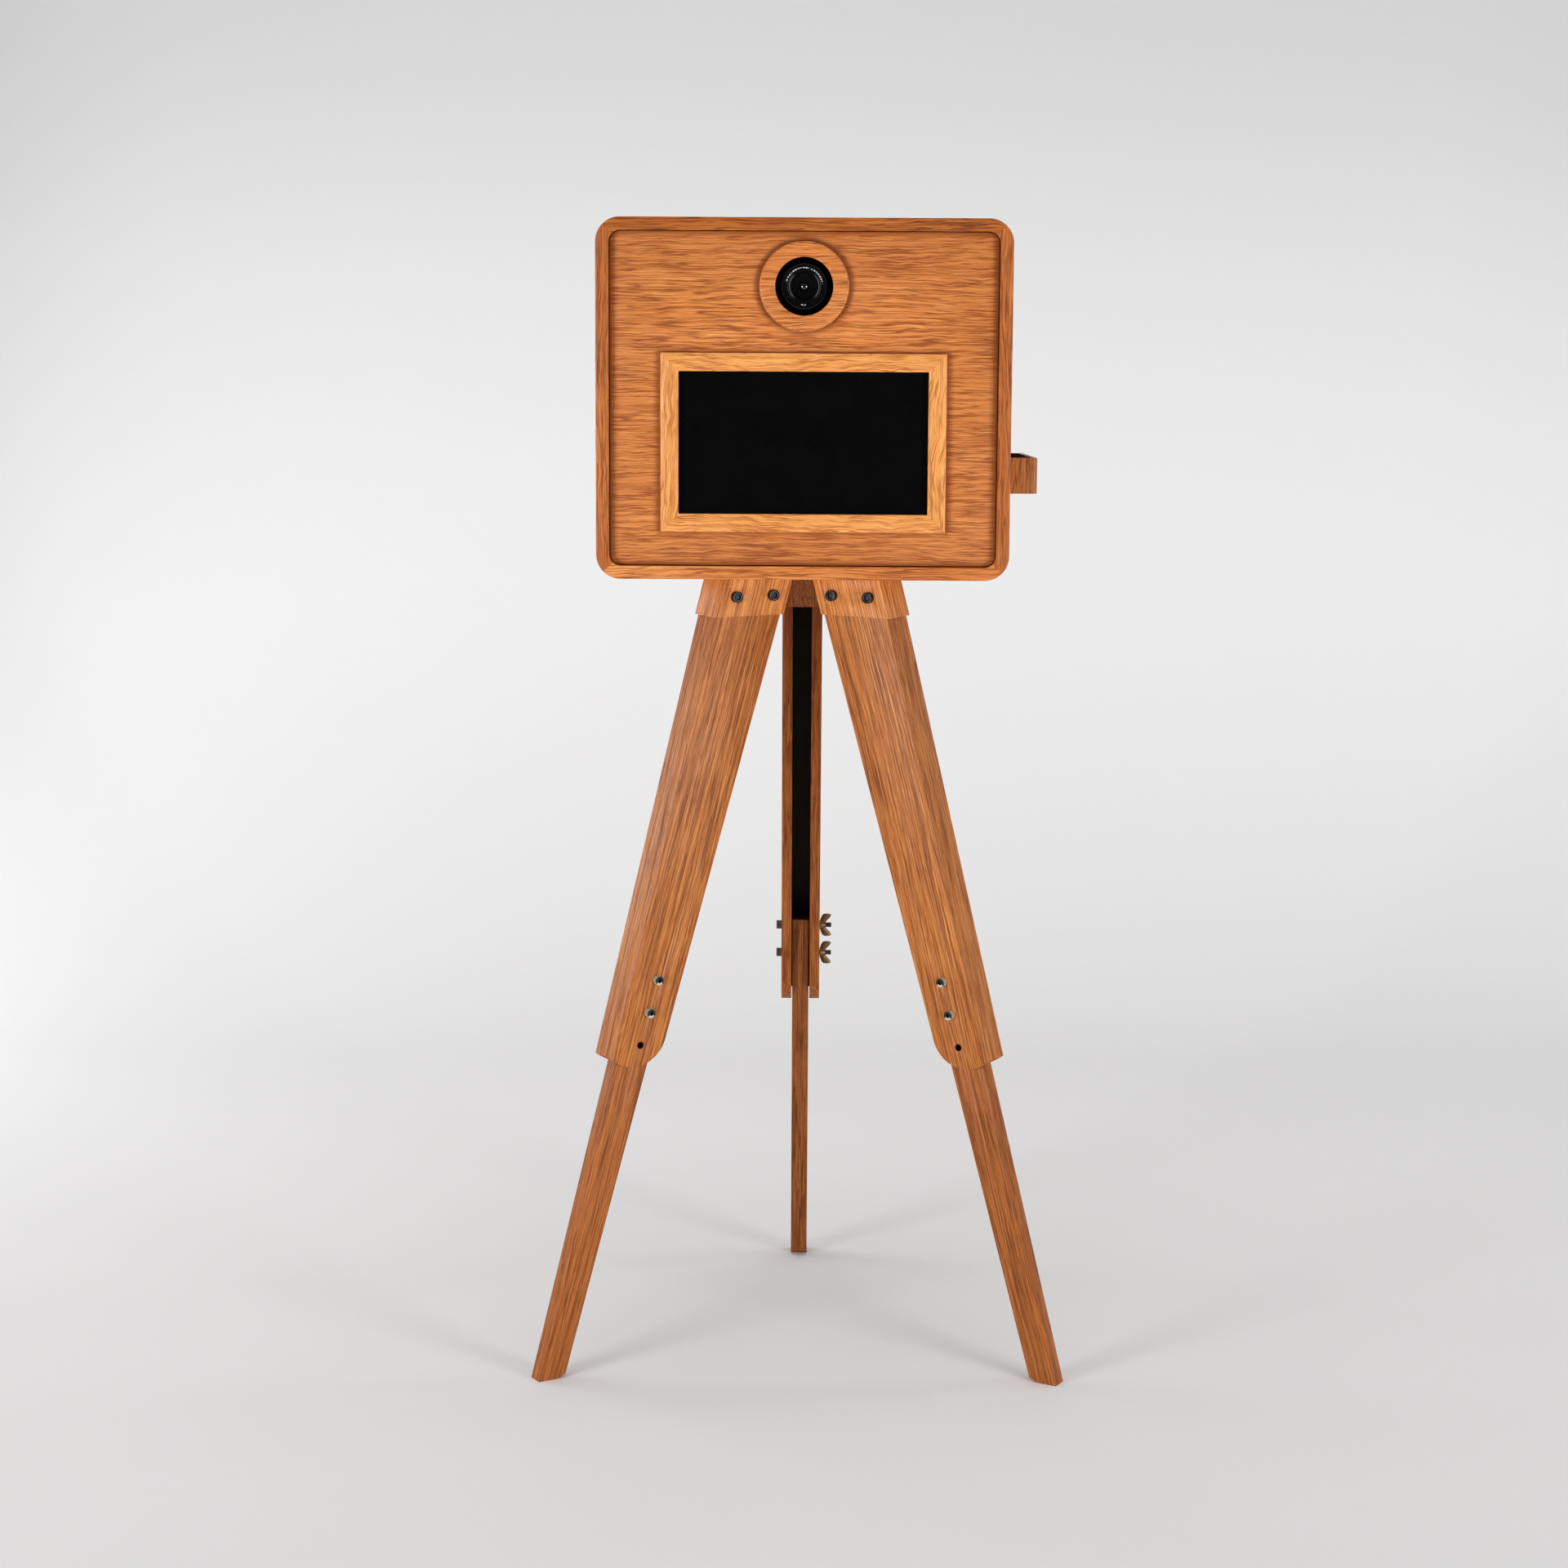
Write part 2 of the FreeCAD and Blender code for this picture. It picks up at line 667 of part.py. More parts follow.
node(group(*clampBolts), "clamp_bolts")
node(group(*capBolts), "cap_bolts")
node(group(*legDowels), "leg_dowels")


# Six screws that hold the plate and the head blocks against the cabinet's floor.
def makePlateScrews():
    screws = []
    headBottom = innerBase + s.plateThickness
    for azimuth, _ in legs.values():
        for offset in plateScrews:
            head = rod(s.legTopReach + offset, zero, headBottom, s.plateScrewHead, s.plateScrewHeadRise)
            screws.append(toLeg(group(fuse(plateScrewHole(offset), head)), azimuth))
    return group(*screws)


node(makePlateScrews(), "plate_screws")
mountPlate = rod(0, axisY, innerBase, s.plateRadius, s.plateThickness)
node(cut(mountPlate, group(*plateHoles)), "mount_plate")

# Cabinet
outerOutline = rounded(-half, half, s.boothBase, top, s.cornerRadius)
innerOutline = rounded(-innerHalf, innerHalf, innerBase, innerTop, innerRadius)
inletY = rear - s.inletFromRear
inletZ = s.boothBase + s.inletRise


def makeShell():
    depth = s.boothDepth - s.lipDepth
    tube = place(board(depth, [outerOutline], holes=[innerOutline]), 0, front + s.lipDepth + depth / 2, 0)
    slot = block(innerHalf - overrun, half + overrun, *slotMouth)
    across, up = s.inletWidth / 2 - s.inletRim, s.inletHeight / 2 - s.inletRim
    inlet = block(-half - overrun, -innerHalf + overrun, inletY - across, inletY + across,
                  inletZ - up, inletZ + up)
    holes = [toLeg(group(*[plateScrewHole(offset) for offset in plateScrews]), azimuth)
             for azimuth, _ in legs.values()]
    return cut(tube, slot, inlet, *holes)


node(makeShell(), "cabinet_shell")


# The lip round the front: four rails, mitred where they meet in the rounded corners.
def makeLip():
    reach = s.cornerRadius * 2
    x, low, high = half - reach, s.boothBase + reach, top - reach
    farX, farLow, farHigh = half + overrun, s.boothBase - overrun, top + overrun
    wedges = {
        "top": [(-x, high), (x, high), (farX, farHigh), (-farX, farHigh)],
        "bottom": [(x, low), (-x, low), (-farX, farLow), (farX, farLow)],
        "left": [(-farX, farHigh), (-farX, farLow), (-x, low), (-x, high)],
        "right": [(farX, farLow), (farX, farHigh), (x, high), (x, low)],
    }
    for name, wedge in wedges.items():
        frame = place(board(s.lipDepth, [outerOutline], holes=[innerOutline]), 0, front + s.lipDepth / 2, 0)
        sector = place(board(s.lipDepth + overrun * 2, [wedge]), 0, front + s.lipDepth / 2, 0)
        rail = document.addObject("Part::Common", fresh("rail"))
        rail.Base = frame
        rail.Tool = sector
        node(rail, "lip_%s_rail" % name)


makeLip()

glassWidth = s.screenWidth + s.glassOverlap * 2
glassHeight = s.screenHeight + s.glassOverlap * 2


# A pair of square uprights, one inside each side of the cabinet.
def uprights(width, y, depth):
    low, high = innerBase + s.cornerRadius, innerTop - s.cornerRadius
    return [block(x, x + width, y, y + depth, low, high) for x in (-innerHalf, innerHalf - width)]


def makePanel():
    x, gap = innerHalf - s.panelGap, s.faceGap
    outline = rounded(-x, x, innerBase + s.panelGap, innerTop - s.panelGap, innerRadius - s.panelGap)
    window = rectangle(-glassWidth / 2 - gap, glassWidth / 2 + gap,
                       screenMiddle - glassHeight / 2 - gap, screenMiddle + glassHeight / 2 + gap)
    panel = board(s.panelThickness, [outline], holes=[window], rings=[(0, lensHeight, s.ringHole)])
    node(place(panel, 0, panelFront + s.panelThickness / 2, 0), "front_panel")
    return uprights(s.battenWidth, panelBack, s.battenDepth)


battens = makePanel()


def makeScreenFrame():
    x0, x1 = s.screenWidth / 2, s.screenWidth / 2 + s.screenRail
    z0, z1 = s.screenHeight / 2, s.screenHeight / 2 + s.screenRail
    rails = {
        "top": [(-x0, z0), (x0, z0), (x1, z1), (-x1, z1)],
        "bottom": [(x0, -z0), (-x0, -z0), (-x1, -z1), (x1, -z1)],
        "left": [(-x0, -z0), (-x0, z0), (-x1, z1), (-x1, -z1)],
        "right": [(x0, z0), (x0, -z0), (x1, -z1), (x1, z1)],
    }
    for name, outline in rails.items():
        rail = board(s.screenRailDepth, [outline])
        node(place(rail, 0, panelFront - s.screenRailDepth / 2, screenMiddle), "screen_frame_" + name)


makeScreenFrame()


def makeDisplay():
    x, z = glassWidth / 2, glassHeight / 2
    low, high = screenMiddle - z, screenMiddle + z
    y = panelFront + s.glassThickness
    node(block(-x, x, panelFront, y, low, high), "touch_glass")
    margin, inset = s.displayMargin, s.chassisInset
    display = block(-x + margin, x - margin, y, y + s.displayDepth, low + margin, high - margin)
    y = y + s.displayDepth
    chassis = block(-x + inset, x - inset, y - overrun, y + s.chassisDepth, low + inset, high - inset)
    node(fuse(display, chassis), "monitor_chassis")
    y = y + s.chassisDepth
    straps = []
    for side in (-1, 1):
        x0 = s.strapSpread * side - s.strapWidth / 2
        x1 = s.strapSpread * side + s.strapWidth / 2
        foot = s.strapMargin / 2 + s.strapThickness
        low1, high1 = low - s.strapThickness * 2, high + s.strapThickness * 2
        bar = block(x0, x1, y, y + s.strapThickness, low1, high1)
        legsAndFeet = []
        for z0, outward in ((low1, -1), (high1 - s.strapThickness, 1)):
            legsAndFeet.append(block(x0, x1, panelBack, y + s.strapThickness, z0, z0 + s.strapThickness))
            footLow = z0 - foot if outward < 0 else z0
            legsAndFeet.append(block(x0, x1, panelBack, panelBack + s.strapThickness, footLow,
                                     footLow + foot + s.strapThickness))
        straps.append(fuse(bar, *legsAndFeet))
    node(group(*straps), "monitor_straps")


makeDisplay()

# Camera
lensFront = front + s.lensSetback
lensBack = lensFront + s.lensLength


# Puts a piece turned about its own Z with that axis along +Y, starting at y.
def alongY(item, x, y, z):
    return place(item, x, y, z, turns["y"])


def makeLens():
    disc = rod(0, panelFront - s.ringDepth, lensHeight, s.ringRadius, s.ringDepth, "y")
    bore = rod(0, panelFront - s.ringDepth - overrun, lensHeight, s.ringHole, s.ringDepth + overrun * 2, "y")
    node(cut(disc, bore), "lens_ring")


def makeCameraLens():
    nose, mountFace = s.lensNose, s.lensLength - s.lensMount
    zoomCore = s.zoomRadius - s.ringLap
    barrel = turned([(s.lensBore, 0), (s.lensRadius, 0), (s.lensRadius, nose), (s.lensCore, nose),
                     (s.lensCore, mountFace), (zoomCore, mountFace), (zoomCore, s.lensLength),
                     (s.lensMountBore, s.lensLength), (s.lensMountBore, s.lensMount),
                     (s.lensBore, s.lensMount)])
    node(alongY(barrel, 0, lensFront, lensHeight), "lens_barrel")
    gap, run = s.faceGap, s.lensCore + s.runningGap
    focusEnd = nose + s.focusLength
    focusStart, grip = nose + gap, s.focusRadius
    focus = turned([(run, focusStart), (grip, focusStart), (grip, focusEnd), (run, focusEnd)])
    node(alongY(focus, 0, lensFront, lensHeight), "focus_ring")
    zoomStart, zoomEnd = focusEnd + s.ringSpacing, mountFace - gap
    zoom = turned([(run, zoomStart), (s.zoomRadius, zoomStart), (s.zoomRadius, zoomEnd), (run, zoomEnd)])
    node(alongY(zoom, 0, lensFront, lensHeight), "zoom_ring")
    rim = s.lensBore - s.runningGap * 2
    element = turned([(0, s.elementFront), (rim, s.elementEdge, s.elementCurve), (rim, s.elementBack),
                      (0, s.elementBack)])
    node(alongY(element, 0, lensFront, lensHeight), "front_element")


def makeCameraBody():
    middle = lensBack + s.cameraDepth / 2
    x, low = s.cameraWidth / 2, lensHeight - s.cameraHeight / 2
    high = lensHeight + s.cameraHeight / 2 - s.shoulderDrop
    peak = high + s.prismRise
    outline = [(-x, low), (x, low), (x, high), (s.prismBase, high), (s.prismTop, peak), (-s.prismTop, peak),
               (-s.prismBase, high), (-x, high)]
    casing = place(board(s.cameraDepth, [outline]), 0, middle, 0)
    grip = block(-x, -x + s.gripWidth, lensBack - s.gripDepth, lensBack + overrun, low, high)
    hole = rod(0, middle, low, s.knobShaft + s.runningGap, s.knobThread)
    node(cut(fuse(casing, grip), hole), "camera_body")
    floorLow, wing = low - s.bracketThickness, s.bracketWidth / 2
    arm = block(-wing, wing, panelBack, lensBack + s.bracketReach, floorLow, low)
    flange = block(-wing, wing, panelBack, panelBack + s.bracketThickness, floorLow - s.bracketFlange,
                   floorLow + overrun)
    bore = rod(0, middle, floorLow - overrun, s.knobShaft + s.runningGap, s.bracketThickness + overrun * 2)
    node(cut(fuse(arm, flange), bore), "camera_bracket")
    knobTop = floorLow - s.faceGap
    knob = rod(0, middle, knobTop - s.knobHeight, s.knobRadius, s.knobHeight)
    shaft = rod(0, middle, knobTop - overrun, s.knobShaft, s.bracketThickness + s.knobThread)
    node(fuse(knob, shaft), "camera_knob")


makeLens()
makeCameraLens()
makeCameraBody()


# Shelf, printer, computer, supply
def makeInside():
    backEdge = rear - s.doorThickness - s.stopDepth - s.shelfBackGap
    shelfLow = shelfTop - s.shelfThickness
    node(block(-innerHalf, innerHalf, printerFront, backEdge, shelfLow, shelfTop), "equipment_shelf")
    x1 = innerHalf - s.printerWallGap
    x0 = x1 - s.printerLength
    y0, y1 = printerFront, printerFront + s.printerWidth
    printerTop = shelfTop + s.printerHeight
    mouth = block(x1 - s.printerMouth, x1 + overrun, *slotMouth)
    node(cut(block(x0, x1, y0, y1, shelfTop, printerTop), mouth), "printer")
    leftEdge, frontEdge = -innerHalf + s.computerSideGap, printerFront + s.computerFrontGap
    node(block(leftEdge, leftEdge + s.computerWidth, frontEdge, frontEdge + s.computerDepth,
               shelfTop, shelfTop + s.computerHeight), "computer")
    supplyLeft = -innerHalf + innerRadius + s.panelGap
    node(block(supplyLeft, supplyLeft + s.supplyWidth, printerFront, printerFront + s.supplyDepth,
               innerBase, innerBase + s.supplyHeight), "power_supply")


makeInside()


# Catch tray
def makeTray():
    y0 = printerMiddle - s.trayLength / 2
    y1 = printerMiddle + s.trayLength / 2
    low = s.boothBase + s.trayRise
    far, near, corner = half + s.trayFront, half + s.trayRear, s.trayCorner
    slope = (far - near) / s.trayLength
    outline = [(half, y0), (far - corner, y0), (far - slope * corner, y0 + corner, corner),
               (near + slope * corner, y1 - corner), (near - corner, y1, corner), (half, y1)]
    inside = half - overrun
    pocket = [(inside, y0 + s.trayWall), (far - s.trayWall, y0 + s.trayWall),
              (near - s.trayWall, y1 - s.trayWall), (inside, y1 - s.trayWall)]
    solid = place(board(s.trayHeight, [outline], role="XY_Plane"), 0, 0, low + s.trayHeight / 2)
    hollow = place(board(s.trayHeight, [pocket], role="XY_Plane"), 0, 0,
                   low + s.trayHeight / 2 + s.trayWall)
    node(cut(solid, hollow), "catch_tray")


makeTray()

# Rear door
doorEdge = innerHalf - s.doorGap
pinX = -innerHalf + s.doorGap / 2
pinY = rear + s.knuckleRadius
doorMiddle = (innerBase + innerTop) / 2
hingeMiddles = (doorMiddle - s.hingeRise, doorMiddle + s.hingeRise)
lockX = doorEdge - s.lockInset
ventRows = 6


def makeDoor():
    low, high = innerBase + s.doorGap, innerTop - s.doorGap
    outline = rounded(-doorEdge, doorEdge, low, high, innerRadius - s.doorGap)
    vents = []
    for column in (-1, 1):
        for row in range(ventRows):
            z = doorMiddle + s.ventRise + s.ventPitch * row
            middle = s.ventSpread * column
            vents.append(rectangle(middle - s.ventWidth / 2, middle + s.ventWidth / 2, z, z + s.ventHeight))
    door = board(s.doorThickness, [outline], holes=vents, rings=[(lockX, doorMiddle, s.lockRadius)])
    node(place(door, 0, rear - s.doorThickness / 2, 0), "rear_door")
    stopBack = rear - s.doorThickness - s.faceGap
    stops = uprights(s.stopWidth, stopBack - s.stopDepth, s.stopDepth)
    node(group(*battens, *stops), "cabinet_battens")


def makeHinges():
    third = s.hingeHeight / 3
    back, over = rear + s.leafThickness, rear + s.leafThickness + overrun
    clear = s.knuckleRadius + s.faceGap
    fixed, moving, pins = [], [], []
    for middle in hingeMiddles:
        low, high = middle - s.hingeHeight / 2, middle + s.hingeHeight / 2
        leaf = block(pinX - s.leafWidth, pinX - s.leafGap, rear, back, low, high)
        notch = block(pinX - clear, pinX, rear - overrun, over, low + third, high - third)
        barrels = [rod(pinX, pinY, z, s.knuckleRadius, third) for z in (low, high - third)]
        bore = rod(pinX, pinY, low - overrun, s.pinRadius, s.hingeHeight + overrun * 2)
        fixed.append(cut(fuse(cut(leaf, notch), *barrels), bore))
        doorLeaf = block(pinX + s.leafGap, pinX + s.leafWidth + s.doorGap * 2, rear, back, low, high)
        doorNotches = [block(pinX, pinX + clear, rear - overrun, over, z0, z1)
                       for z0, z1 in ((low - overrun, low + third + s.faceGap),
                                      (high - third - s.faceGap, high + overrun))]
        barrel = rod(pinX, pinY, low + third + s.faceGap, s.knuckleRadius, third - s.faceGap * 2)
        doorBore = rod(pinX, pinY, low - overrun, s.pinRadius + s.runningGap, s.hingeHeight + overrun * 2)
        moving.append(cut(fuse(cut(doorLeaf, *doorNotches), barrel), doorBore))
        pins.append(rod(pinX, pinY, low, s.pinRadius, s.hingeHeight))
    node(group(*fixed), "hinge_leaves_cabinet")
    node(group(*moving), "hinge_leaves_door")
    node(group(*pins), "hinge_pins")


# A quarter-turn cam lock: its tongue stands upright when open and catches behind the door stop.
def makeLock():
    inside = rear - s.doorThickness
    stopFront = inside - s.faceGap - s.stopDepth
    camBack = stopFront - s.faceGap
    camFront = camBack - s.camThickness
    barrelBack = camBack + s.faceGap
    face = rear + s.leafThickness + overrun
    flange = rod(lockX, rear, doorMiddle, s.lockRim, s.leafThickness, "y")
    barrel = rod(lockX, barrelBack, doorMiddle, s.lockRadius, rear + overrun - barrelBack, "y")
    bore = rod(lockX, barrelBack - overrun, doorMiddle, s.lockPlug + s.runningGap, s.boothDepth, "y")
    node(cut(fuse(flange, barrel), bore), "lock_body")
    plug = rod(lockX, camFront, doorMiddle, s.lockPlug, face - camFront, "y")
    cam = block(lockX - s.lockPlug, lockX + s.lockPlug, camFront, camBack, doorMiddle - s.lockPlug - overrun,
                doorMiddle + s.camLength)
    keyway = block(lockX - s.keyWidth / 2, lockX + s.keyWidth / 2, rear, face + overrun,
                   doorMiddle - s.keyHeight / 2, doorMiddle + s.keyHeight / 2)
    node(cut(fuse(plug, cam), keyway), "lock_plug")


makeDoor()
makeHinges()
makeLock()


# Inlet and switch
def makeInlet():
    x, rim = -half, s.inletRim
    y0, y1 = inletY - s.inletWidth / 2, inletY + s.inletWidth / 2
    z0, z1 = inletZ - s.inletHeight / 2, inletZ + s.inletHeight / 2
    face, floor = x - s.inletFlange - overrun, x + s.socketDepth
    flange = block(x - s.inletFlange, x, y0, y1, z0, z1)
    housing = block(x - overrun, x + s.inletDepth, y0 + rim, y1 - rim, z0 + rim, z1 - rim)
    socketY, socketZ = inletY - s.socketWidth / 2, z0 + s.socketLow
    cavity = block(face, floor, socketY, socketY + s.socketWidth, socketZ, socketZ + s.socketHeight)
    pins, sockets = [], []
    for shift, rise in ((-s.pinSpread, s.pinLow), (s.pinSpread, s.pinLow), (zero, s.pinHigh)):
        left, low = inletY + shift - s.pinWidth / 2, socketZ + rise - s.pinHeight / 2
        reach = (left, left + s.pinWidth, low, low + s.pinHeight)
        pins.append(block(floor + overrun - s.pinLength, floor + overrun, *reach))
        sockets.append(block(floor - s.faceGap, floor + overrun, *reach))
    windowY, windowZ, gap = inletY - s.rockerWidth / 2, z1 - s.rockerDrop - s.rockerHeight, s.faceGap
    window = block(face, x + s.rockerDepth, windowY - gap, windowY + s.rockerWidth + gap,
                   windowZ - gap, windowZ + s.rockerHeight + gap)
    pivotX, pivotZ, end = x + s.pivotDepth, windowZ + s.rockerHeight / 2, s.pivotReach
    pinHole = rod(pivotX, windowY - end - gap, pivotZ, s.pivotRadius + s.runningGap,
                  s.rockerWidth + (end + gap) * 2, "y")
    node(cut(fuse(flange, housing), cavity, window, pinHole, *sockets), "power_inlet")
    node(group(*pins), "inlet_pins")
    # the lower half is pressed in and the upper half stands out
    up, hub = s.rockerHeight / 2 - s.rockerTrim, s.pivotRadius * 2
    outline = [(s.rockerTail, hub), (s.rockerDeep - s.rockerHigh, up), (-s.rockerHigh, up),
               (-s.rockerMiddle, 0), (-s.rockerLow - s.rockerDeep, -up), (-s.rockerLow, -up),
               (s.rockerTail, -hub)]
    paddle = place(board(s.rockerWidth, [outline]), pivotX, inletY, pivotZ)
    pivot = rod(pivotX, windowY - end, pivotZ, s.pivotRadius, s.rockerWidth + end * 2, "y")
    node(fuse(paddle, pivot), "power_rocker")


makeInlet()


# Checks and export
document.recompute()
for item in document.Objects:
    if "Invalid" in item.State or "Error" in item.State:
        raise RuntimeError("%s (%s) failed: %s" % (item.Name, item.Label, item.State))
for item in nodes:
    if item.Shape.isNull() or not item.Shape.isValid() or not item.Shape.Solids:
        raise RuntimeError("%s has no valid solid" % item.Label)
os.makedirs("parts", exist_ok=True)
for item in nodes:
    item.Shape.exportStep("parts/%s.step" % item.Label)
print(len(nodes), "nodes written")
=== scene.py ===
import bpy
import json
import math
from mathutils import Euler, Matrix, Quaternion, Vector


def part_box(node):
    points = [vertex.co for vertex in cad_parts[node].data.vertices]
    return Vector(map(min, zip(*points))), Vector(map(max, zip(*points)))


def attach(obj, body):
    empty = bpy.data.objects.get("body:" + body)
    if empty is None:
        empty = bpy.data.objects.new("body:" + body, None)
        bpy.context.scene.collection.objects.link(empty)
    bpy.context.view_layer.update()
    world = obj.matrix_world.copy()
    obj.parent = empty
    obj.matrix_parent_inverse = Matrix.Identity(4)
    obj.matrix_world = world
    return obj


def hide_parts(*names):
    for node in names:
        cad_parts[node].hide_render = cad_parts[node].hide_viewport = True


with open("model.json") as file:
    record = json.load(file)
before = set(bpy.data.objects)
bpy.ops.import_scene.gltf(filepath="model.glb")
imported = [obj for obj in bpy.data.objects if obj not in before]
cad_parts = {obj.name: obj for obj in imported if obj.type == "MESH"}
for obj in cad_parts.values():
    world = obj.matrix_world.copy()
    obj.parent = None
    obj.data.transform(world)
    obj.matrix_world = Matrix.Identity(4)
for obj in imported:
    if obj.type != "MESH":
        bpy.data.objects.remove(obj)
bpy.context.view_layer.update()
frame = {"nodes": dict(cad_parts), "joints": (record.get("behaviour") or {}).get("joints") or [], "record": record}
nodes = frame["nodes"]
root = "cabinet_and_stand"
bodyOf = {name: body for body, names in frame["record"]["behaviour"]["bodies"].items() for name in names}
slotOf = {part["node"]: part["material_slot"] for part in frame["record"]["subparts"]}
up = Vector((0, 0, 1))
print("frame loaded:", len(nodes), "nodes")


# Materials.
# A socket that can stand in a sum, so that shader maths reads as plain expressions.
class Value:
    def __init__(self, finish, socket):
        self.finish = finish
        self.socket = socket

    def math(self, operation, other=0.0, first=False):
        pair = (other, self) if first else (self, other)
        return self.finish.add("ShaderNodeMath", {"operation": operation}, {0: pair[0], 1: pair[1]})

    def __add__(self, other):
        return self.math("ADD", other)

    def __radd__(self, other):
        return self.math("ADD", other, True)

    def __sub__(self, other):
        return self.math("SUBTRACT", other)

    def __rsub__(self, other):
        return self.math("SUBTRACT", other, True)

    def __mul__(self, other):
        return self.math("MULTIPLY", other)

    def __rmul__(self, other):
        return self.math("MULTIPLY", other, True)

    def __truediv__(self, other):
        return self.math("DIVIDE", other)

    def over(self, edge, softness):        # 0 below the edge, 1 above it
        return self.finish.add("ShaderNodeMapRange", {"interpolation_type": "SMOOTHSTEP"},
                               {0: self, 1: edge - softness, 2: edge + softness})

    def under(self, edge, softness):
        return 1 - self.over(edge, softness)


# One material: its node sheet and the few moves that every finish is made with.
class Finish:
    def __init__(self, name):
        self.material = bpy.data.materials.new(name)
        self.material.use_nodes = True
        self.tree = self.material.node_tree
        self.tree.nodes.clear()

    def add(self, kind, settings=None, values=None, output=0):
        made = self.tree.nodes.new(kind)
        for key, setting in (settings or {}).items():
            if key == "stops":
                ramp = made.color_ramp
                while len(ramp.elements) < len(setting):
                    ramp.elements.new(0.5)
                for element, (position, colour) in zip(ramp.elements, setting):
                    element.position = position
                    element.color = (*colour, 1)
            else:
                setattr(made, key, setting)
        for key, value in (values or {}).items():
            if isinstance(value, Value):
                self.tree.links.new(value.socket, made.inputs[key])
            else:
                made.inputs[key].default_value = value
        return Value(self, made.outputs[output]) if made.outputs else None

    def place(self):
        return self.add("ShaderNodeTexCoord", output="Object")

    def along(self, place, direction):
        return self.add("ShaderNodeVectorMath", {"operation": "DOT_PRODUCT"}, {0: place, 1: direction}, "Value")

    def pack(self, x, y, z):
        return self.add("ShaderNodeCombineXYZ", values={0: x, 1: y, 2: z})

    def noise(self, vector, scale=1.0, detail=2.0, roughness=0.5):
        return self.add("ShaderNodeTexNoise", values={"Vector": vector, "Scale": scale, "Detail": detail,
                                                      "Roughness": roughness})

    def mix(self, factor, first, second):
        ends = {6: first, 7: second}
        ends = {key: end if isinstance(end, Value) else (*end, 1) for key, end in ends.items()}
        return self.add("ShaderNodeMix", {"data_type": "RGBA"}, {0: factor, **ends}, 2)

    def ramp(self, factor, stops):
        return self.add("ShaderNodeValToRGB", {"stops": stops}, {0: factor})

    def bump(self, height, distance, strength=1.0):
        return self.add("ShaderNodeBump", values={"Height": height, "Distance": distance, "Strength": strength})

    # Painted shade at the foot of a raised part: 1 on the outline of a disc or a box on the face, fading to 0
    # beside it.
    def crease(self, place, kind, centre, half, width):
        x = (self.along(place, (1, 0, 0)) - centre.x).math("ABSOLUTE")
        z = (self.along(place, (0, 0, 1)) - centre.z).math("ABSOLUTE")
        if kind == "disc":
            gap = (x * x + z * z).math("SQRT") - half.x
        else:
            gap = (x - half.x).math("MAXIMUM", z - half.z)
        return gap.math("ABSOLUTE").under(width / 2, width / 2)

    def shader(self, **values):
        sockets = {key.replace("_", " "): value for key, value in values.items()}
        surface = self.add("ShaderNodeBsdfPrincipled", values=sockets)
        self.add("ShaderNodeOutputMaterial", values={"Surface": surface})
        return self.material


oakLook = {
    "ringSpacing": 0.0105,      # growth rings on the sawn face
    "heart": 0.085,             # depth of the tree's heart behind the face
    "lean": 0.035,              # slope of the grain through the board, which draws the arches
    "wander": 0.020,            # how far the grain strays over a hand's width
    "ripple": 0.0042,           # and over a finger's width
    "veinScale": 250.0,         # dark veins across the grain, per metre
    "veinRun": 9.0,             # and along it
    "veinWidth": 0.042,
    "threadScale": 600.0,
    "broad": 0.22,
    "veins": 1.0,              # how dark the veins are
    "threads": 0.78,
    "paintedShadeDepth": 0.35,        # painted shade at the foot of raised parts, as a share of the dark tone
    "roughness": 0.42,
    "specular": 0.32,
}

tones = {
    "cabinet": [(0.290, 0.066, 0.011), (0.640, 0.200, 0.043), (0.860, 0.370, 0.110)],
    "lip": [(0.200, 0.042, 0.006), (0.490, 0.136, 0.025), (0.700, 0.260, 0.070)],
    # painted shade: a darker copy of the lip tone for the top rail
    "lipTopShaded": [(0.150, 0.028, 0.003), (0.385, 0.090, 0.010), (0.560, 0.175, 0.028)],
    "frame": [(0.480, 0.140, 0.025), (0.800, 0.315, 0.076), (0.960, 0.500, 0.160)],
    # painted light: a lighter tone for the caps, standing in for the light they catch
    "cap": [(0.300, 0.084, 0.016), (0.640, 0.225, 0.050), (0.840, 0.380, 0.115)],
    "upper": [(0.210, 0.054, 0.009), (0.480, 0.150, 0.030), (0.690, 0.280, 0.080)],
    # painted shade: the rear leg's tones are darker copies of the upper and lower tones
    "rear": [(0.175, 0.043, 0.007), (0.385, 0.108, 0.020), (0.560, 0.200, 0.054)],
    "rearLowerShaded": [(0.110, 0.027, 0.004), (0.235, 0.064, 0.012), (0.345, 0.122, 0.032)],
    "lower": [(0.180, 0.046, 0.008), (0.390, 0.114, 0.024), (0.550, 0.190, 0.052)],
}


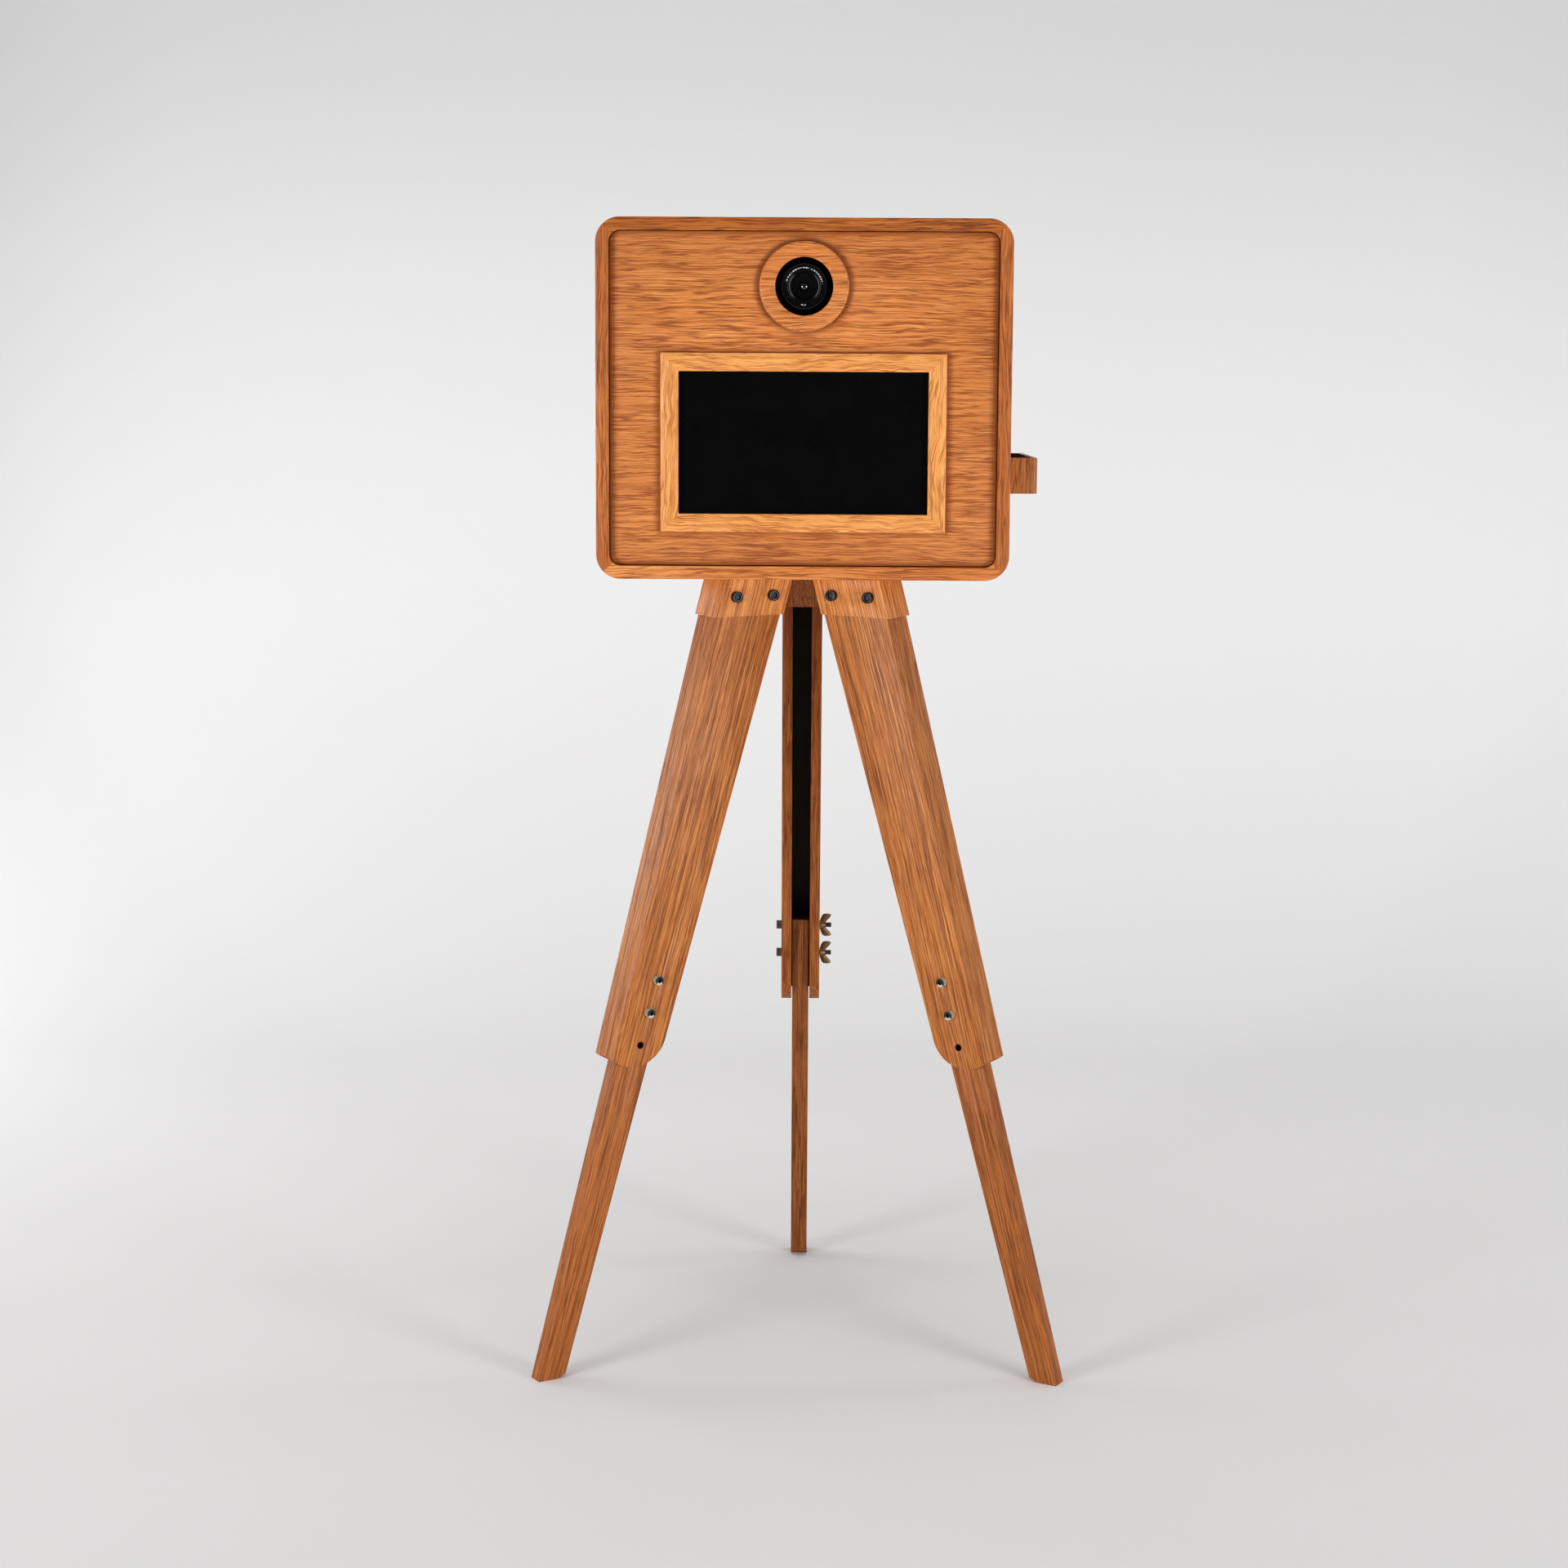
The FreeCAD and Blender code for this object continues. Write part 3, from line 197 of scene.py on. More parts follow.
# Oak veneer. The grain runs along one direction; the face is the board's widest side.
def oak(name, grain, face, tone, seed, **changes):
    look = {**oakLook, **changes}
    grain, face = Vector(grain).normalized(), Vector(face).normalized()
    across = grain.cross(face)
    finish = Finish(name)
    place = finish.place()
    run = finish.along(place, grain) + seed * 1.37
    side = finish.along(place, across)
    depth = finish.along(place, face)
    drift = finish.noise(finish.pack(run * 3.2, side * 9, depth * 9 + seed), 1, 3) - 0.5
    ripple = finish.noise(finish.pack(run * 34, side * 26, depth * 26 - seed), 1, 2) - 0.5
    sway = side + drift * look["wander"] + ripple * look["ripple"]
    heart = depth * 0.6 + drift * look["wander"] + (run * look["lean"]).math("PINGPONG", 0.05) + look["heart"]
    ring = ((sway * sway + heart * heart).math("SQRT") / look["ringSpacing"] + drift * 1.5).math("FRACT")
    lateWood = ring.over(0.62, 0.3) - ring.over(0.97, 0.03)
    vein, thread = look["veinScale"], look["threadScale"]
    veins = finish.noise(finish.pack(run * look["veinRun"], sway * vein, depth * vein + seed * 3), 1, 2, 0.6)
    lines = (veins - 0.5).math("ABSOLUTE").under(look["veinWidth"], look["veinWidth"])
    fading = finish.noise(finish.pack(run * 16, side * 60, depth * 60 + seed), 1, 2).over(0.45, 0.18)
    threads = finish.noise(finish.pack(run * 24, sway * thread, depth * thread - seed), 1, 2, 0.6)
    pore = finish.noise(finish.pack(run * 60, sway * thread * 1.3, depth * thread * 1.3 + seed * 2), 1, 1)
    broad = finish.noise(finish.pack(run * 2.6, side * 20, depth * 20 - seed * 2), 1, 2)
    tint = 0.58 + (threads - 0.5) * look["threads"] + (broad - 0.5) * look["broad"] - (lateWood - 0.35) * 0.10
    dark, middle, light = tones[tone]
    colour = finish.ramp(tint, [(0.12, dark), (0.50, middle), (0.88, light)])
    # painted shade: the colour darkens round each listed outline, standing in for the shadow of a raised part
    for *shape, strength in look.get("creases", []):
        colour = finish.mix(finish.crease(place, *shape) * strength, colour,
                            [channel * look["paintedShadeDepth"] for channel in dark])
    pores = pore.over(0.62, 0.05)
    colour = finish.mix(pores * 0.25 + lines * (0.45 + fading * 0.55) * look["veins"], colour, dark)
    height = threads * 0.5 - lines * 0.5 - pores * 0.4
    return finish.shader(Base_Color=colour, Roughness=look["roughness"] + (0.5 - threads) * 0.25 + pores * 0.2,
                         Specular_IOR_Level=look["specular"], Coat_Weight=0.05, Coat_Roughness=0.3,
                         Normal=finish.bump(height, 0.0003, 0.4))


paintLook = {"gritScale": 900.0, "smudgeScale": 22.0, "bump": 0.00005, "shade": 0.72}


# Paint, plastic or plated metal: fine grit, with wider smudges where it is a little darker and duller.
def paint(name, colour, roughness, metallic=0.0, speckle=0.0, specular=0.5):
    finish = Finish(name)
    place = finish.place()
    grit = finish.noise(place, paintLook["gritScale"], 2, 0.6)
    smudge = finish.noise(place, paintLook["smudgeScale"], 3, 0.6)
    shade = finish.mix(smudge.over(0.5, 0.25) * 0.35 + (grit - 0.5) * speckle, colour,
                       [channel * paintLook["shade"] for channel in colour])
    return finish.shader(Base_Color=shade, Metallic=metallic, Specular_IOR_Level=specular,
                         Roughness=roughness + (smudge - 0.5) * 0.16 + (grit - 0.5) * 0.1,
                         Normal=finish.bump(grit, paintLook["bump"], 0.5))


# Modelling moves.
def clear():
    if bpy.context.object and bpy.context.object.mode != "OBJECT":
        bpy.ops.object.mode_set(mode="OBJECT")
    bpy.ops.object.select_all(action="DESELECT")


def take(piece):
    clear()
    piece.select_set(True)
    bpy.context.view_layer.objects.active = piece
    return piece


def settle(piece):                      # the place goes into the mesh
    take(piece)
    bpy.ops.object.transform_apply(location=True, rotation=True, scale=True)
    return piece


def named(name):
    piece = bpy.context.object
    piece.name = name
    piece.data.name = name
    return piece


def copyOf(piece, name):
    take(piece)
    bpy.ops.object.duplicate()
    return named(name)


def pick(piece, kind, test):            # leaves the piece in edit mode with what passes the test selected
    take(piece)
    bpy.ops.object.mode_set(mode="EDIT")
    bpy.ops.mesh.select_mode(type=kind)
    bpy.ops.mesh.select_all(action="DESELECT")
    bpy.ops.object.mode_set(mode="OBJECT")
    mesh = piece.data
    parts = {"VERT": mesh.vertices, "EDGE": mesh.edges, "FACE": mesh.polygons}[kind]
    for part in parts:
        part.select = bool(test(part))
    bpy.ops.object.mode_set(mode="EDIT")
    return piece


def ends(piece, edge):
    return [piece.data.vertices[index].co for index in edge.vertices]


def modify(piece, kind, **settings):
    take(piece)
    modifier = piece.modifiers.new(kind.title(), kind)
    for key, setting in settings.items():
        setattr(modifier, key, setting)
    bpy.ops.object.modifier_apply(modifier=modifier.name)
    return piece


def ease(piece, width, segments=2, angle=35):      # breaks every sharp edge
    modify(piece, "BEVEL", width=width, segments=segments, limit_method="ANGLE",
           angle_limit=math.radians(angle), use_clamp_overlap=True)
    take(piece)
    bpy.ops.object.shade_smooth_by_angle(angle=math.radians(30))
    return piece


def carve(piece, cutter):
    modify(piece, "BOOLEAN", operation="DIFFERENCE", object=cutter, solver="EXACT")
    bpy.data.objects.remove(cutter)
    return piece


def finishPiece(piece, material, *replaced, body=None, slot=None):
    clear()
    piece.data.materials.clear()
    piece.data.materials.append(material)
    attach(piece, body or bodyOf[replaced[0]])
    if replaced:
        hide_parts(*replaced)
    return piece


# A rounded copy of a node's mesh, finished in its place.
def easedCopy(node, name, material, width, segments=2):
    piece = copyOf(nodes[node], name)
    piece.parent = None
    for key in list(piece.keys()):
        del piece[key]
    pick(piece, "FACE", lambda face: True)
    bpy.ops.mesh.remove_doubles(threshold=0.00001)
    bpy.ops.mesh.dissolve_limited(angle_limit=math.radians(0.5))
    clear()
    ease(piece, width, segments)
    return finishPiece(piece, material, node)


def block(name, low, high):
    clear()
    low, high = Vector(low), Vector(high)
    bpy.ops.mesh.primitive_cube_add(size=1, location=(low + high) / 2)
    piece = named(name)
    piece.scale = high - low
    return settle(piece)


def drum(name, centre, radius, length, axis="Y", sides=96):
    clear()
    turns = {"X": (0, math.pi / 2, 0), "Y": (math.pi / 2, 0, 0), "Z": (0, 0, 0)}
    bpy.ops.mesh.primitive_cylinder_add(vertices=sides, radius=radius, depth=length, location=centre,
                                        rotation=turns[axis])
    return settle(named(name))


# A piece turned about a line along Y: a circle is drawn out step by step through (radius, distance) pairs.
# It closes on itself when the last pair is the first, and to a point when the last radius is nothing.
def lathe(name, centre, steps, sides=96):
    clear()
    centre = Vector(centre)
    radius, y = steps[0]
    bpy.ops.mesh.primitive_circle_add(vertices=sides, radius=radius, location=centre + Vector((0, y, 0)),
                                      rotation=(math.pi / 2, 0, 0))
    piece = settle(named(name))
    pick(piece, "VERT", lambda vertex: True)
    for nextRadius, nextY in steps[1:]:
        bpy.ops.mesh.extrude_region_move(TRANSFORM_OT_translate={"value": (0, nextY - y, 0)})
        if nextRadius == 0:
            bpy.ops.mesh.merge(type="CENTER")
            break
        growth = nextRadius / radius
        bpy.ops.transform.resize(value=(growth, 1, growth), center_override=centre)
        radius, y = nextRadius, nextY
    bpy.ops.mesh.select_all(action="SELECT")
    bpy.ops.mesh.remove_doubles(threshold=0.000005)
    bpy.ops.mesh.normals_make_consistent(inside=False)
    take(piece)
    bpy.ops.object.shade_smooth_by_angle(angle=math.radians(28))
    return piece


def join(pieces, name):
    clear()
    for piece in pieces:
        piece.select_set(True)
    bpy.context.view_layer.objects.active = pieces[0]
    bpy.ops.object.join()
    return named(name)


# Gives the faces that pass the test a second finish.
def touchUp(piece, material, test):
    piece.data.materials.append(material)
    for face in piece.data.polygons:
        if test(face):
            face.material_index = len(piece.data.materials) - 1
    return piece


recess = {"margin": 0.0012, "depth": -0.0012}


# Sinks or raises a panel in the face that looks one way, and cuts it into a grid of small recesses.
def dress(piece, direction, margin, depth, cuts=0):
    direction = Vector(direction)
    facing = [face for face in piece.data.polygons if face.normal.dot(direction) > 0.99]
    largest = max(facing, key=lambda face: face.area).index
    pick(piece, "FACE", lambda face: face.index == largest)
    bpy.ops.mesh.inset(thickness=margin, depth=depth)
    if cuts:
        bpy.ops.mesh.subdivide(number_cuts=cuts)
        bpy.ops.mesh.inset(thickness=recess["margin"], depth=recess["depth"], use_individual=True)
    clear()
    return piece


# Camera, floor and light.
camera = {"place": (0.0093, -4.7773, 1.5729), "pitch": 9.06, "yaw": 0.42, "roll": 0.32, "lens": 75.0}
clear()
bpy.ops.object.camera_add(location=camera["place"])
eye = bpy.context.object
level = Euler((math.radians(90 - camera["pitch"]), 0, math.radians(camera["yaw"])))
eye.rotation_euler = (level.to_quaternion() @ Quaternion((0, 0, 1), math.radians(camera["roll"]))).to_euler()
eye.data.lens = camera["lens"]
eye.data.sensor_width = 36
bpy.context.scene.camera = eye

floor = {"width": 16.0, "near": -7.0, "back": 3.2, "curve": 1.6, "height": 6.0}
clear()
bpy.ops.mesh.primitive_plane_add(size=1, location=(0, (floor["near"] + floor["back"]) / 2, 0))
backdrop = named("backdrop")
backdrop.scale = (floor["width"], floor["back"] - floor["near"], 1)
settle(backdrop)
pick(backdrop, "EDGE", lambda edge: all(end.y > floor["back"] - 0.01 for end in ends(backdrop, edge)))
bpy.ops.mesh.extrude_region_move(TRANSFORM_OT_translate={"value": (0, 0, floor["height"])})
pick(backdrop, "EDGE", lambda edge: all(end.y > floor["back"] - 0.01 and end.z < 0.01
                                        for end in ends(backdrop, edge)))
bpy.ops.mesh.bevel(offset=floor["curve"], segments=24, affect="EDGES")
clear()
take(backdrop)
bpy.ops.object.shade_smooth()
paper = Finish("studio_paper")          # painted shade: darker above the object and in front of it, paler round it
paperPlace = paper.place()
mottle = paper.noise(paperPlace, 0.8, 2)
paperToneAndShade = paper.mix(mottle, (0.880, 0.876, 0.876), (0.900, 0.896, 0.896))
paperToneAndShade = paper.mix(paper.along(paperPlace, (0, 0, 1)).over(1.50, 0.85), paperToneAndShade, (0.660, 0.660, 0.660))
paperToneAndShade = paper.mix(paper.along(paperPlace, (0, -1, 0)).over(1.30, 0.90), paperToneAndShade, (0.790, 0.790, 0.790))
turnedAway = paper.add("ShaderNodeNewGeometry", output="Backfacing")        # clear when seen from behind
backdrop.data.materials.append(paper.shader(Base_Color=paperToneAndShade, Roughness=0.9, Alpha=1 - turnedAway))

lamps = {
    "key": {"place": (-3.1, -3.5, 0.90), "size": 1.4, "power": 112, "aim": (0, 0, 1.2)},
    "fill": {"place": (3.1, -3.5, 0.90), "size": 1.4, "power": 108, "aim": (0, 0, 1.2)},
    "overhead": {"place": (0, -0.2, 4.6), "size": 3.0, "power": 72, "aim": (0, 0.3, 0)},
    "backLeft": {"place": (-3.6, 0.8, 2.0), "size": 1.6, "power": 15, "aim": (-0.2, 4.4, 0.8)},
    "backRight": {"place": (3.6, 0.8, 2.0), "size": 1.6, "power": 22, "aim": (0.2, 4.4, 0.8)},
    "rimLeft": {"place": (-2.9, 1.5, 1.0), "size": 1.4, "power": 22, "aim": (0, 0, 0.9)},
}
for lampName, lamp in lamps.items():
    bpy.ops.object.light_add(type="AREA", location=lamp["place"])
    light = bpy.context.object
    light.name = lampName
    light.data.shape = "SQUARE"
    light.data.size = lamp["size"]
    light.data.energy = lamp["power"]
    light.rotation_euler = (Vector(lamp["aim"]) - Vector(lamp["place"])).to_track_quat("-Z", "Y").to_euler()
world = bpy.data.worlds.new("studio")
bpy.context.scene.world = world
world.use_nodes = True
world.node_tree.nodes["Background"].inputs["Color"].default_value = (1.0, 0.99, 0.98, 1)
world.node_tree.nodes["Background"].inputs["Strength"].default_value = 0.12
bpy.context.scene.view_settings.view_transform = "Standard"
print("camera, floor and light set")


# The cabinet's shell, lip and panel.
# An upright frame that faces -Y: a plane with rounded corners, inset, opened and given its depth.
def uprightFrame(name, low, high, wall, radius=0.0):
    clear()
    bpy.ops.mesh.primitive_plane_add(size=1, rotation=(math.pi / 2, 0, 0),
                                     location=((low.x + high.x) / 2, low.y, (low.z + high.z) / 2))
    piece = named(name)
    piece.scale = (high.x - low.x, high.z - low.z, 1)
    settle(piece)
    if radius:
        pick(piece, "VERT", lambda vertex: True)
        bpy.ops.mesh.bevel(offset=radius, segments=cabinet["cornerSteps"], affect="VERTICES")
    pick(piece, "FACE", lambda face: True)
    bpy.ops.mesh.inset(thickness=wall)
    bpy.ops.mesh.delete(type="FACE")
    bpy.ops.mesh.select_all(action="SELECT")
    bpy.ops.mesh.extrude_region_move(TRANSFORM_OT_translate={"value": (0, high.y - low.y, 0)})
    bpy.ops.mesh.select_all(action="SELECT")
    bpy.ops.mesh.normals_make_consistent(inside=False)
    clear()
    return piece


# Rounds the front edges of a frame: the outer rim by one size and the inner rim by another.
def roundFront(piece, low, high, wall, outer, inner):
    def onRim(edge, wanted):
        for end in ends(piece, edge):
            if end.y > low.y + 0.0001:
                return False
        middle = sum(ends(piece, edge), Vector()) / 2
        inside = min(middle.x - low.x, high.x - middle.x, middle.z - low.z, high.z - middle.z)
        return (inside < wall * 0.6) == (wanted == "outer")
    for wanted, width in (("outer", outer), ("inner", inner)):
        frontEdges = {edge.index for edge in piece.data.edges if onRim(edge, wanted)}
        pick(piece, "EDGE", lambda edge: edge.index in frontEdges)
        bpy.ops.mesh.bevel(offset=width, segments=4, affect="EDGES", clamp_overlap=True)
        clear()


# One rail of a mitred frame, cut out of a copy of the whole frame.
def rail(whole, name, side, low, high):
    corners = {"top": ((low.x, high.z, 1, 1), (high.x, high.z, -1, 1)),
               "bottom": ((low.x, low.z, 1, -1), (high.x, low.z, -1, -1)),
               "left": ((low.x, high.z, -1, -1), (low.x, low.z, -1, 1)),
               "right": ((high.x, high.z, 1, -1), (high.x, low.z, 1, 1))}
    piece = copyOf(whole, name)
    for x, z, across, rise in corners[side]:
        pick(piece, "FACE", lambda face: True)
        bpy.ops.mesh.bisect(plane_co=(x, 0, z), plane_no=(across, 0, rise), use_fill=True, clear_inner=True)
        clear()
    return piece


cabinet = {"radius": 0.034, "cornerSteps": 14, "wall": 0.018, "lipRound": 0.0032, "lipInnerRound": 0.0016,
           "toolGap": 0.0005, "inletRim": 0.0025}
shellLow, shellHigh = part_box("cabinet_shell")
lipLow = Vector((shellLow.x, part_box("lip_left_rail")[0].y, shellLow.z))
lipHigh = Vector((shellHigh.x, shellLow.y, shellHigh.z))
openings = {opening["name"]: opening["box_m"] for opening in frame["record"]["physics"]["openings"]}

shell = uprightFrame("shell", shellLow, shellHigh, cabinet["wall"], cabinet["radius"])
slotLow, slotHigh = (Vector(corner) for corner in openings["print_slot"])
toolGap = Vector((0, cabinet["toolGap"], cabinet["toolGap"]))
carve(shell, block("slotTool", slotLow - toolGap, slotHigh + toolGap))
inletLow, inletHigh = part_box("power_inlet")
inletRim = Vector((-0.01, cabinet["inletRim"], cabinet["inletRim"]))        # and clear through the wall
carve(shell, block("inletTool", inletLow + inletRim, inletHigh - inletRim))
ease(shell, 0.0006, 2)

lipWhole = uprightFrame("lipWhole", lipLow, lipHigh, cabinet["wall"], cabinet["radius"])
roundFront(lipWhole, lipLow, lipHigh, cabinet["wall"], cabinet["lipRound"], cabinet["lipInnerRound"])
lips = {}
for side in ("top", "bottom", "left", "right"):
    lips[side] = rail(lipWhole, "lip_" + side, side, lipLow, lipHigh)
bpy.data.objects.remove(lipWhole)


finishPiece(shell, oak("oak_shell", (0, 1, 0), (0, 0, 1), "cabinet", 5.0), "cabinet_shell")
for seed, (side, piece) in enumerate(lips.items()):
    grain = (1, 0, 0) if side in ("top", "bottom") else (0, 0, 1)
    node = "lip_%s_rail" % side
    take(piece)
    bpy.ops.object.shade_smooth_by_angle(angle=math.radians(30))
    # painted shade in the top rail's darker tone, and painted light from below in the bottom rail's lighter
    # cabinet tone
    lipTone = {"top": "lipTopShaded", "bottom": "cabinet"}.get(side, "lip")
    finishPiece(piece, oak("oak_" + piece.name, grain, (0, -1, 0), lipTone, 11 + seed * 3.1, ringSpacing=0.0075,
                           heart=0.06, lean=0.06, broad=0.8, wander=0.03), node)

# Painted shade on the panel: narrow bands round the lens ring, the screen frame and the panel's edge under the
# lip, and a wide band darkening the panel towards its edges.
creases = []
for shape, shapeNodes, width, strength in (
        ("disc", ["lens_ring"], 0.0105, 0.62),
        ("box", ["screen_frame_left", "screen_frame_right"], 0.0085, 0.55),
        ("box", ["front_panel"], 0.0085, 0.62),
        ("box", ["front_panel"], 0.140, 0.13)):
    low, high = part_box(shapeNodes[0])[0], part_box(shapeNodes[-1])[1]
    creases.append((shape, (low + high) / 2, (high - low) / 2, width, strength))
easedCopy("front_panel", "panel", oak("oak_panel", (1, 0, 0), (0, -1, 0), "cabinet", 2.0, creases=creases),
          0.0025, 3)
print("cabinet shell, lip and panel made")

ring = {"hole": 0.040, "round": 0.003, "innerRound": 0.0015}
ringLow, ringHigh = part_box("lens_ring")
ringCentre = (ringLow + ringHigh) / 2
ringRadius = (ringHigh.x - ringLow.x) / 2


def reach(point, centre):               # distance from a lens axis that runs along Y
    return math.hypot(point.x - centre.x, point.z - centre.z)


def ringPiece(name, centre, outer, inner, length, frontRound, innerRound, sides=128):
    piece = drum(name, centre, outer, length, "Y", sides)
    pick(piece, "FACE", lambda face: abs(face.normal.y) > 0.9)
    bpy.ops.mesh.inset(thickness=outer - inner)
    bpy.ops.mesh.delete(type="FACE")
    clear()
    pick(piece, "EDGE", lambda edge: all(reach(end, centre) < inner + 0.0002 for end in ends(piece, edge)))
    bpy.ops.mesh.bridge_edge_loops()
    bpy.ops.mesh.select_all(action="SELECT")
    bpy.ops.mesh.normals_make_consistent(inside=False)
    clear()
    frontFace = centre.y - length / 2
    for limit, width in ((outer, frontRound), (inner, innerRound)):
        pick(piece, "EDGE", lambda edge: all(
            abs(reach(end, centre) - limit) < 0.0003 and end.y < frontFace + 0.0001
            for end in ends(piece, edge)))
        bpy.ops.mesh.bevel(offset=width, segments=4, affect="EDGES")
        clear()
    take(piece)
    bpy.ops.object.shade_smooth_by_angle(angle=math.radians(30))
    return piece


lensRing = ringPiece("ring", ringCentre, ringRadius, ring["hole"], ringHigh.y - ringLow.y, ring["round"],
                     ring["innerRound"])
finishPiece(lensRing, oak("oak_ring", (1, 0, 0), (0, -1, 0), "cabinet", 7.0, broad=0.3), "lens_ring")

# The lens: a turned barrel with a stepped nose, a domed glass and two ribbed rings.
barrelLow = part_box("lens_barrel")[0]
lensFace = Vector((0, barrelLow.y, ringCentre.z))
lens = {
    "barrel": [(0.0310, 0.0008), (0.0303, 0.0), (0.0292, 0.0), (0.0288, 0.0006), (0.0288, 0.0016),
               (0.0283, 0.0019), (0.0288, 0.0022), (0.0283, 0.0025), (0.0288, 0.0028), (0.0283, 0.0034),
               (0.0275, 0.0036), (0.0232, 0.0040), (0.0228, 0.0046), (0.0212, 0.0048), (0.0206, 0.0043),
               (0.0200, 0.0043), (0.0195, 0.0049), (0.0186, 0.0075), (0.0186, 0.0160), (0.0262, 0.0160),
               (0.0262, 0.0690), (0.0330, 0.0700), (0.0330, 0.0562), (0.0290, 0.0562), (0.0290, 0.0090),
               (0.0310, 0.0090), (0.0310, 0.0008)],
    "baffle": [(0.0185, 0.0150), (0.0185, 0.0098), (0.0168, 0.0100), (0.0160, 0.0112), (0.0142, 0.0114),
               (0.0136, 0.0126), (0.0112, 0.0128), (0.0104, 0.0138), (0.0078, 0.0140), (0.0072, 0.0146),
               (0.0066, 0.0150), (0.0185, 0.0150)],
    "dome": 0.0085, "domeWidth": 0.0068, "domeBase": 0.0142, "domeSteps": 8,
    # gleams are painted reflections on the glass rims: inner radius, outer radius and brightness
    "marks": (0.0246, 0.0262), "markCount": 42, "gleams": [(0.0198, 0.0209, 0.20), (0.0224, 0.0230, 0.10)],
    "ribs": 0.0007, "ringBore": 0.02905,
}


# A ring of short pale strokes round the nose, broken up unevenly, with painted reflections of the lamps on the
# glass rims and a painted highlight on the outermost edge.
def scaleMarks(name):
    finish = Finish(name)
    place = finish.place()
    x = finish.along(place, (1, 0, 0)) - lensFace.x
    z = finish.along(place, (0, 0, 1)) - lensFace.z
    spread = (x * x + z * z).math("SQRT")
    angle = z.math("ARCTAN2", x) / (2 * math.pi)            # from -0.5 to 0.5, nought on the right
    inner, outer = lens["marks"]
    band = spread.over(inner, 0.0002) * spread.under(outer, 0.0002)
    beat = (angle * lens["markCount"]).math("FRACT")
    grit = finish.noise(finish.pack(angle * 60, spread * 300, 0.5), 1, 1)
    stroke = beat.over(0.35, 0.06) * grit.over(0.45, 0.06)
    arch = angle.over(0.02, 0.004) * angle.under(0.47, 0.004)
    foot = angle.over(-0.275, 0.004) * angle.under(-0.235, 0.004)
    marks = band * stroke * (arch + foot)
    sideReflection = (x.math("ABSOLUTE") / spread).over(0.72, 0.16)      # painted reflection of the side lamps, strongest at the left and right of the rim
    # painted reflections: pale rings on the glass rims
    for near, far, strength in lens["gleams"]:
        marks = marks + spread.over(near, 0.0002) * spread.under(far, 0.0002) * sideReflection * strength
    marks = marks + spread.over(0.0305, 0.0002) * 0.08          # and a painted highlight on the outermost edge
    smudge = finish.noise(place, 180, 2)
    colour = finish.mix(marks, (0.0012, 0.0012, 0.0014), (0.66, 0.66, 0.64))
    return finish.shader(Base_Color=colour, Roughness=0.50 + smudge * 0.15, Specular_IOR_Level=0.06,
                         Normal=finish.bump(smudge, 0.00005, 0.3))


lensBlack = scaleMarks("lens_black")
lensMatt = paint("lens_matt", (0.0012, 0.0012, 0.0014), 0.50, speckle=0.2, specular=0.06)
domeGlass = paint("coated_glass", (0.0020, 0.0020, 0.0040), 0.06, specular=0.9)
finishPiece(lathe("barrel", lensFace, lens["barrel"], 128), lensBlack, "lens_barrel")
domeSteps = []
for index in range(lens["domeSteps"]):
    turn = math.asin(lens["domeWidth"] / lens["dome"]) * (1 - index / lens["domeSteps"])
    sink = lens["dome"] * (math.cos(math.asin(lens["domeWidth"] / lens["dome"])) - math.cos(turn))
    domeSteps.append((lens["dome"] * math.sin(turn), lens["domeBase"] + sink))
domeSteps.append((0, domeSteps[-1][1]))
finishPiece(lathe("front_dome", lensFace, domeSteps, 64), domeGlass, "front_element")
finishPiece(lathe("lens_baffle", lensFace, lens["baffle"], 96), lensMatt, body=root, slot=slotOf["lens_barrel"])
for ringName in ("focus_ring", "zoom_ring"):
    low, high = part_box(ringName)
    bore = (high.x - low.x) / 2 - lens["ribs"]
    centre = Vector((0, (low.y + high.y) / 2, lensFace.z))
    piece = ringPiece("ribbed_" + ringName, centre, bore, lens["ringBore"], high.y - low.y, 0.0004, 0.0002, 90)
    pick(piece, "FACE", lambda face: abs(face.normal.y) < 0.1 and reach(face.center, centre) > bore * 0.98)
    bpy.ops.mesh.inset(thickness=0.00035, depth=lens["ribs"], use_individual=True)
    clear()
    finishPiece(piece, lensMatt, ringName)
print("lens made")

screen = {"rail": 0.025, "round": 0.0018, "innerRound": 0.0012, "mitre": 0.0003}
topLow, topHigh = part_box("screen_frame_top")
screenLow = Vector((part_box("screen_frame_left")[0].x, topLow.y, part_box("screen_frame_bottom")[0].z))
screenHigh = Vector((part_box("screen_frame_right")[1].x, topHigh.y, topHigh.z))
screenWhole = uprightFrame("screenWhole", screenLow, screenHigh, screen["rail"])
roundFront(screenWhole, screenLow, screenHigh, screen["rail"], screen["round"], screen["innerRound"])
for seed, side in enumerate(("top", "bottom", "left", "right")):
    piece = rail(screenWhole, "screen_" + side, side, screenLow, screenHigh)
    ease(piece, screen["mitre"], 1, 40)
    grain = (1, 0, 0) if side in ("top", "bottom") else (0, 0, 1)
    finishPiece(piece, oak("oak_" + piece.name, grain, (0, -1, 0), "frame", 31 + seed * 2.3, ringSpacing=0.009,
                           heart=0.05, lean=0.10, wander=0.05, ripple=0.009, veinRun=12),
                "screen_frame_" + side)
bpy.data.objects.remove(screenWhole)
print("ring and screen frame made")

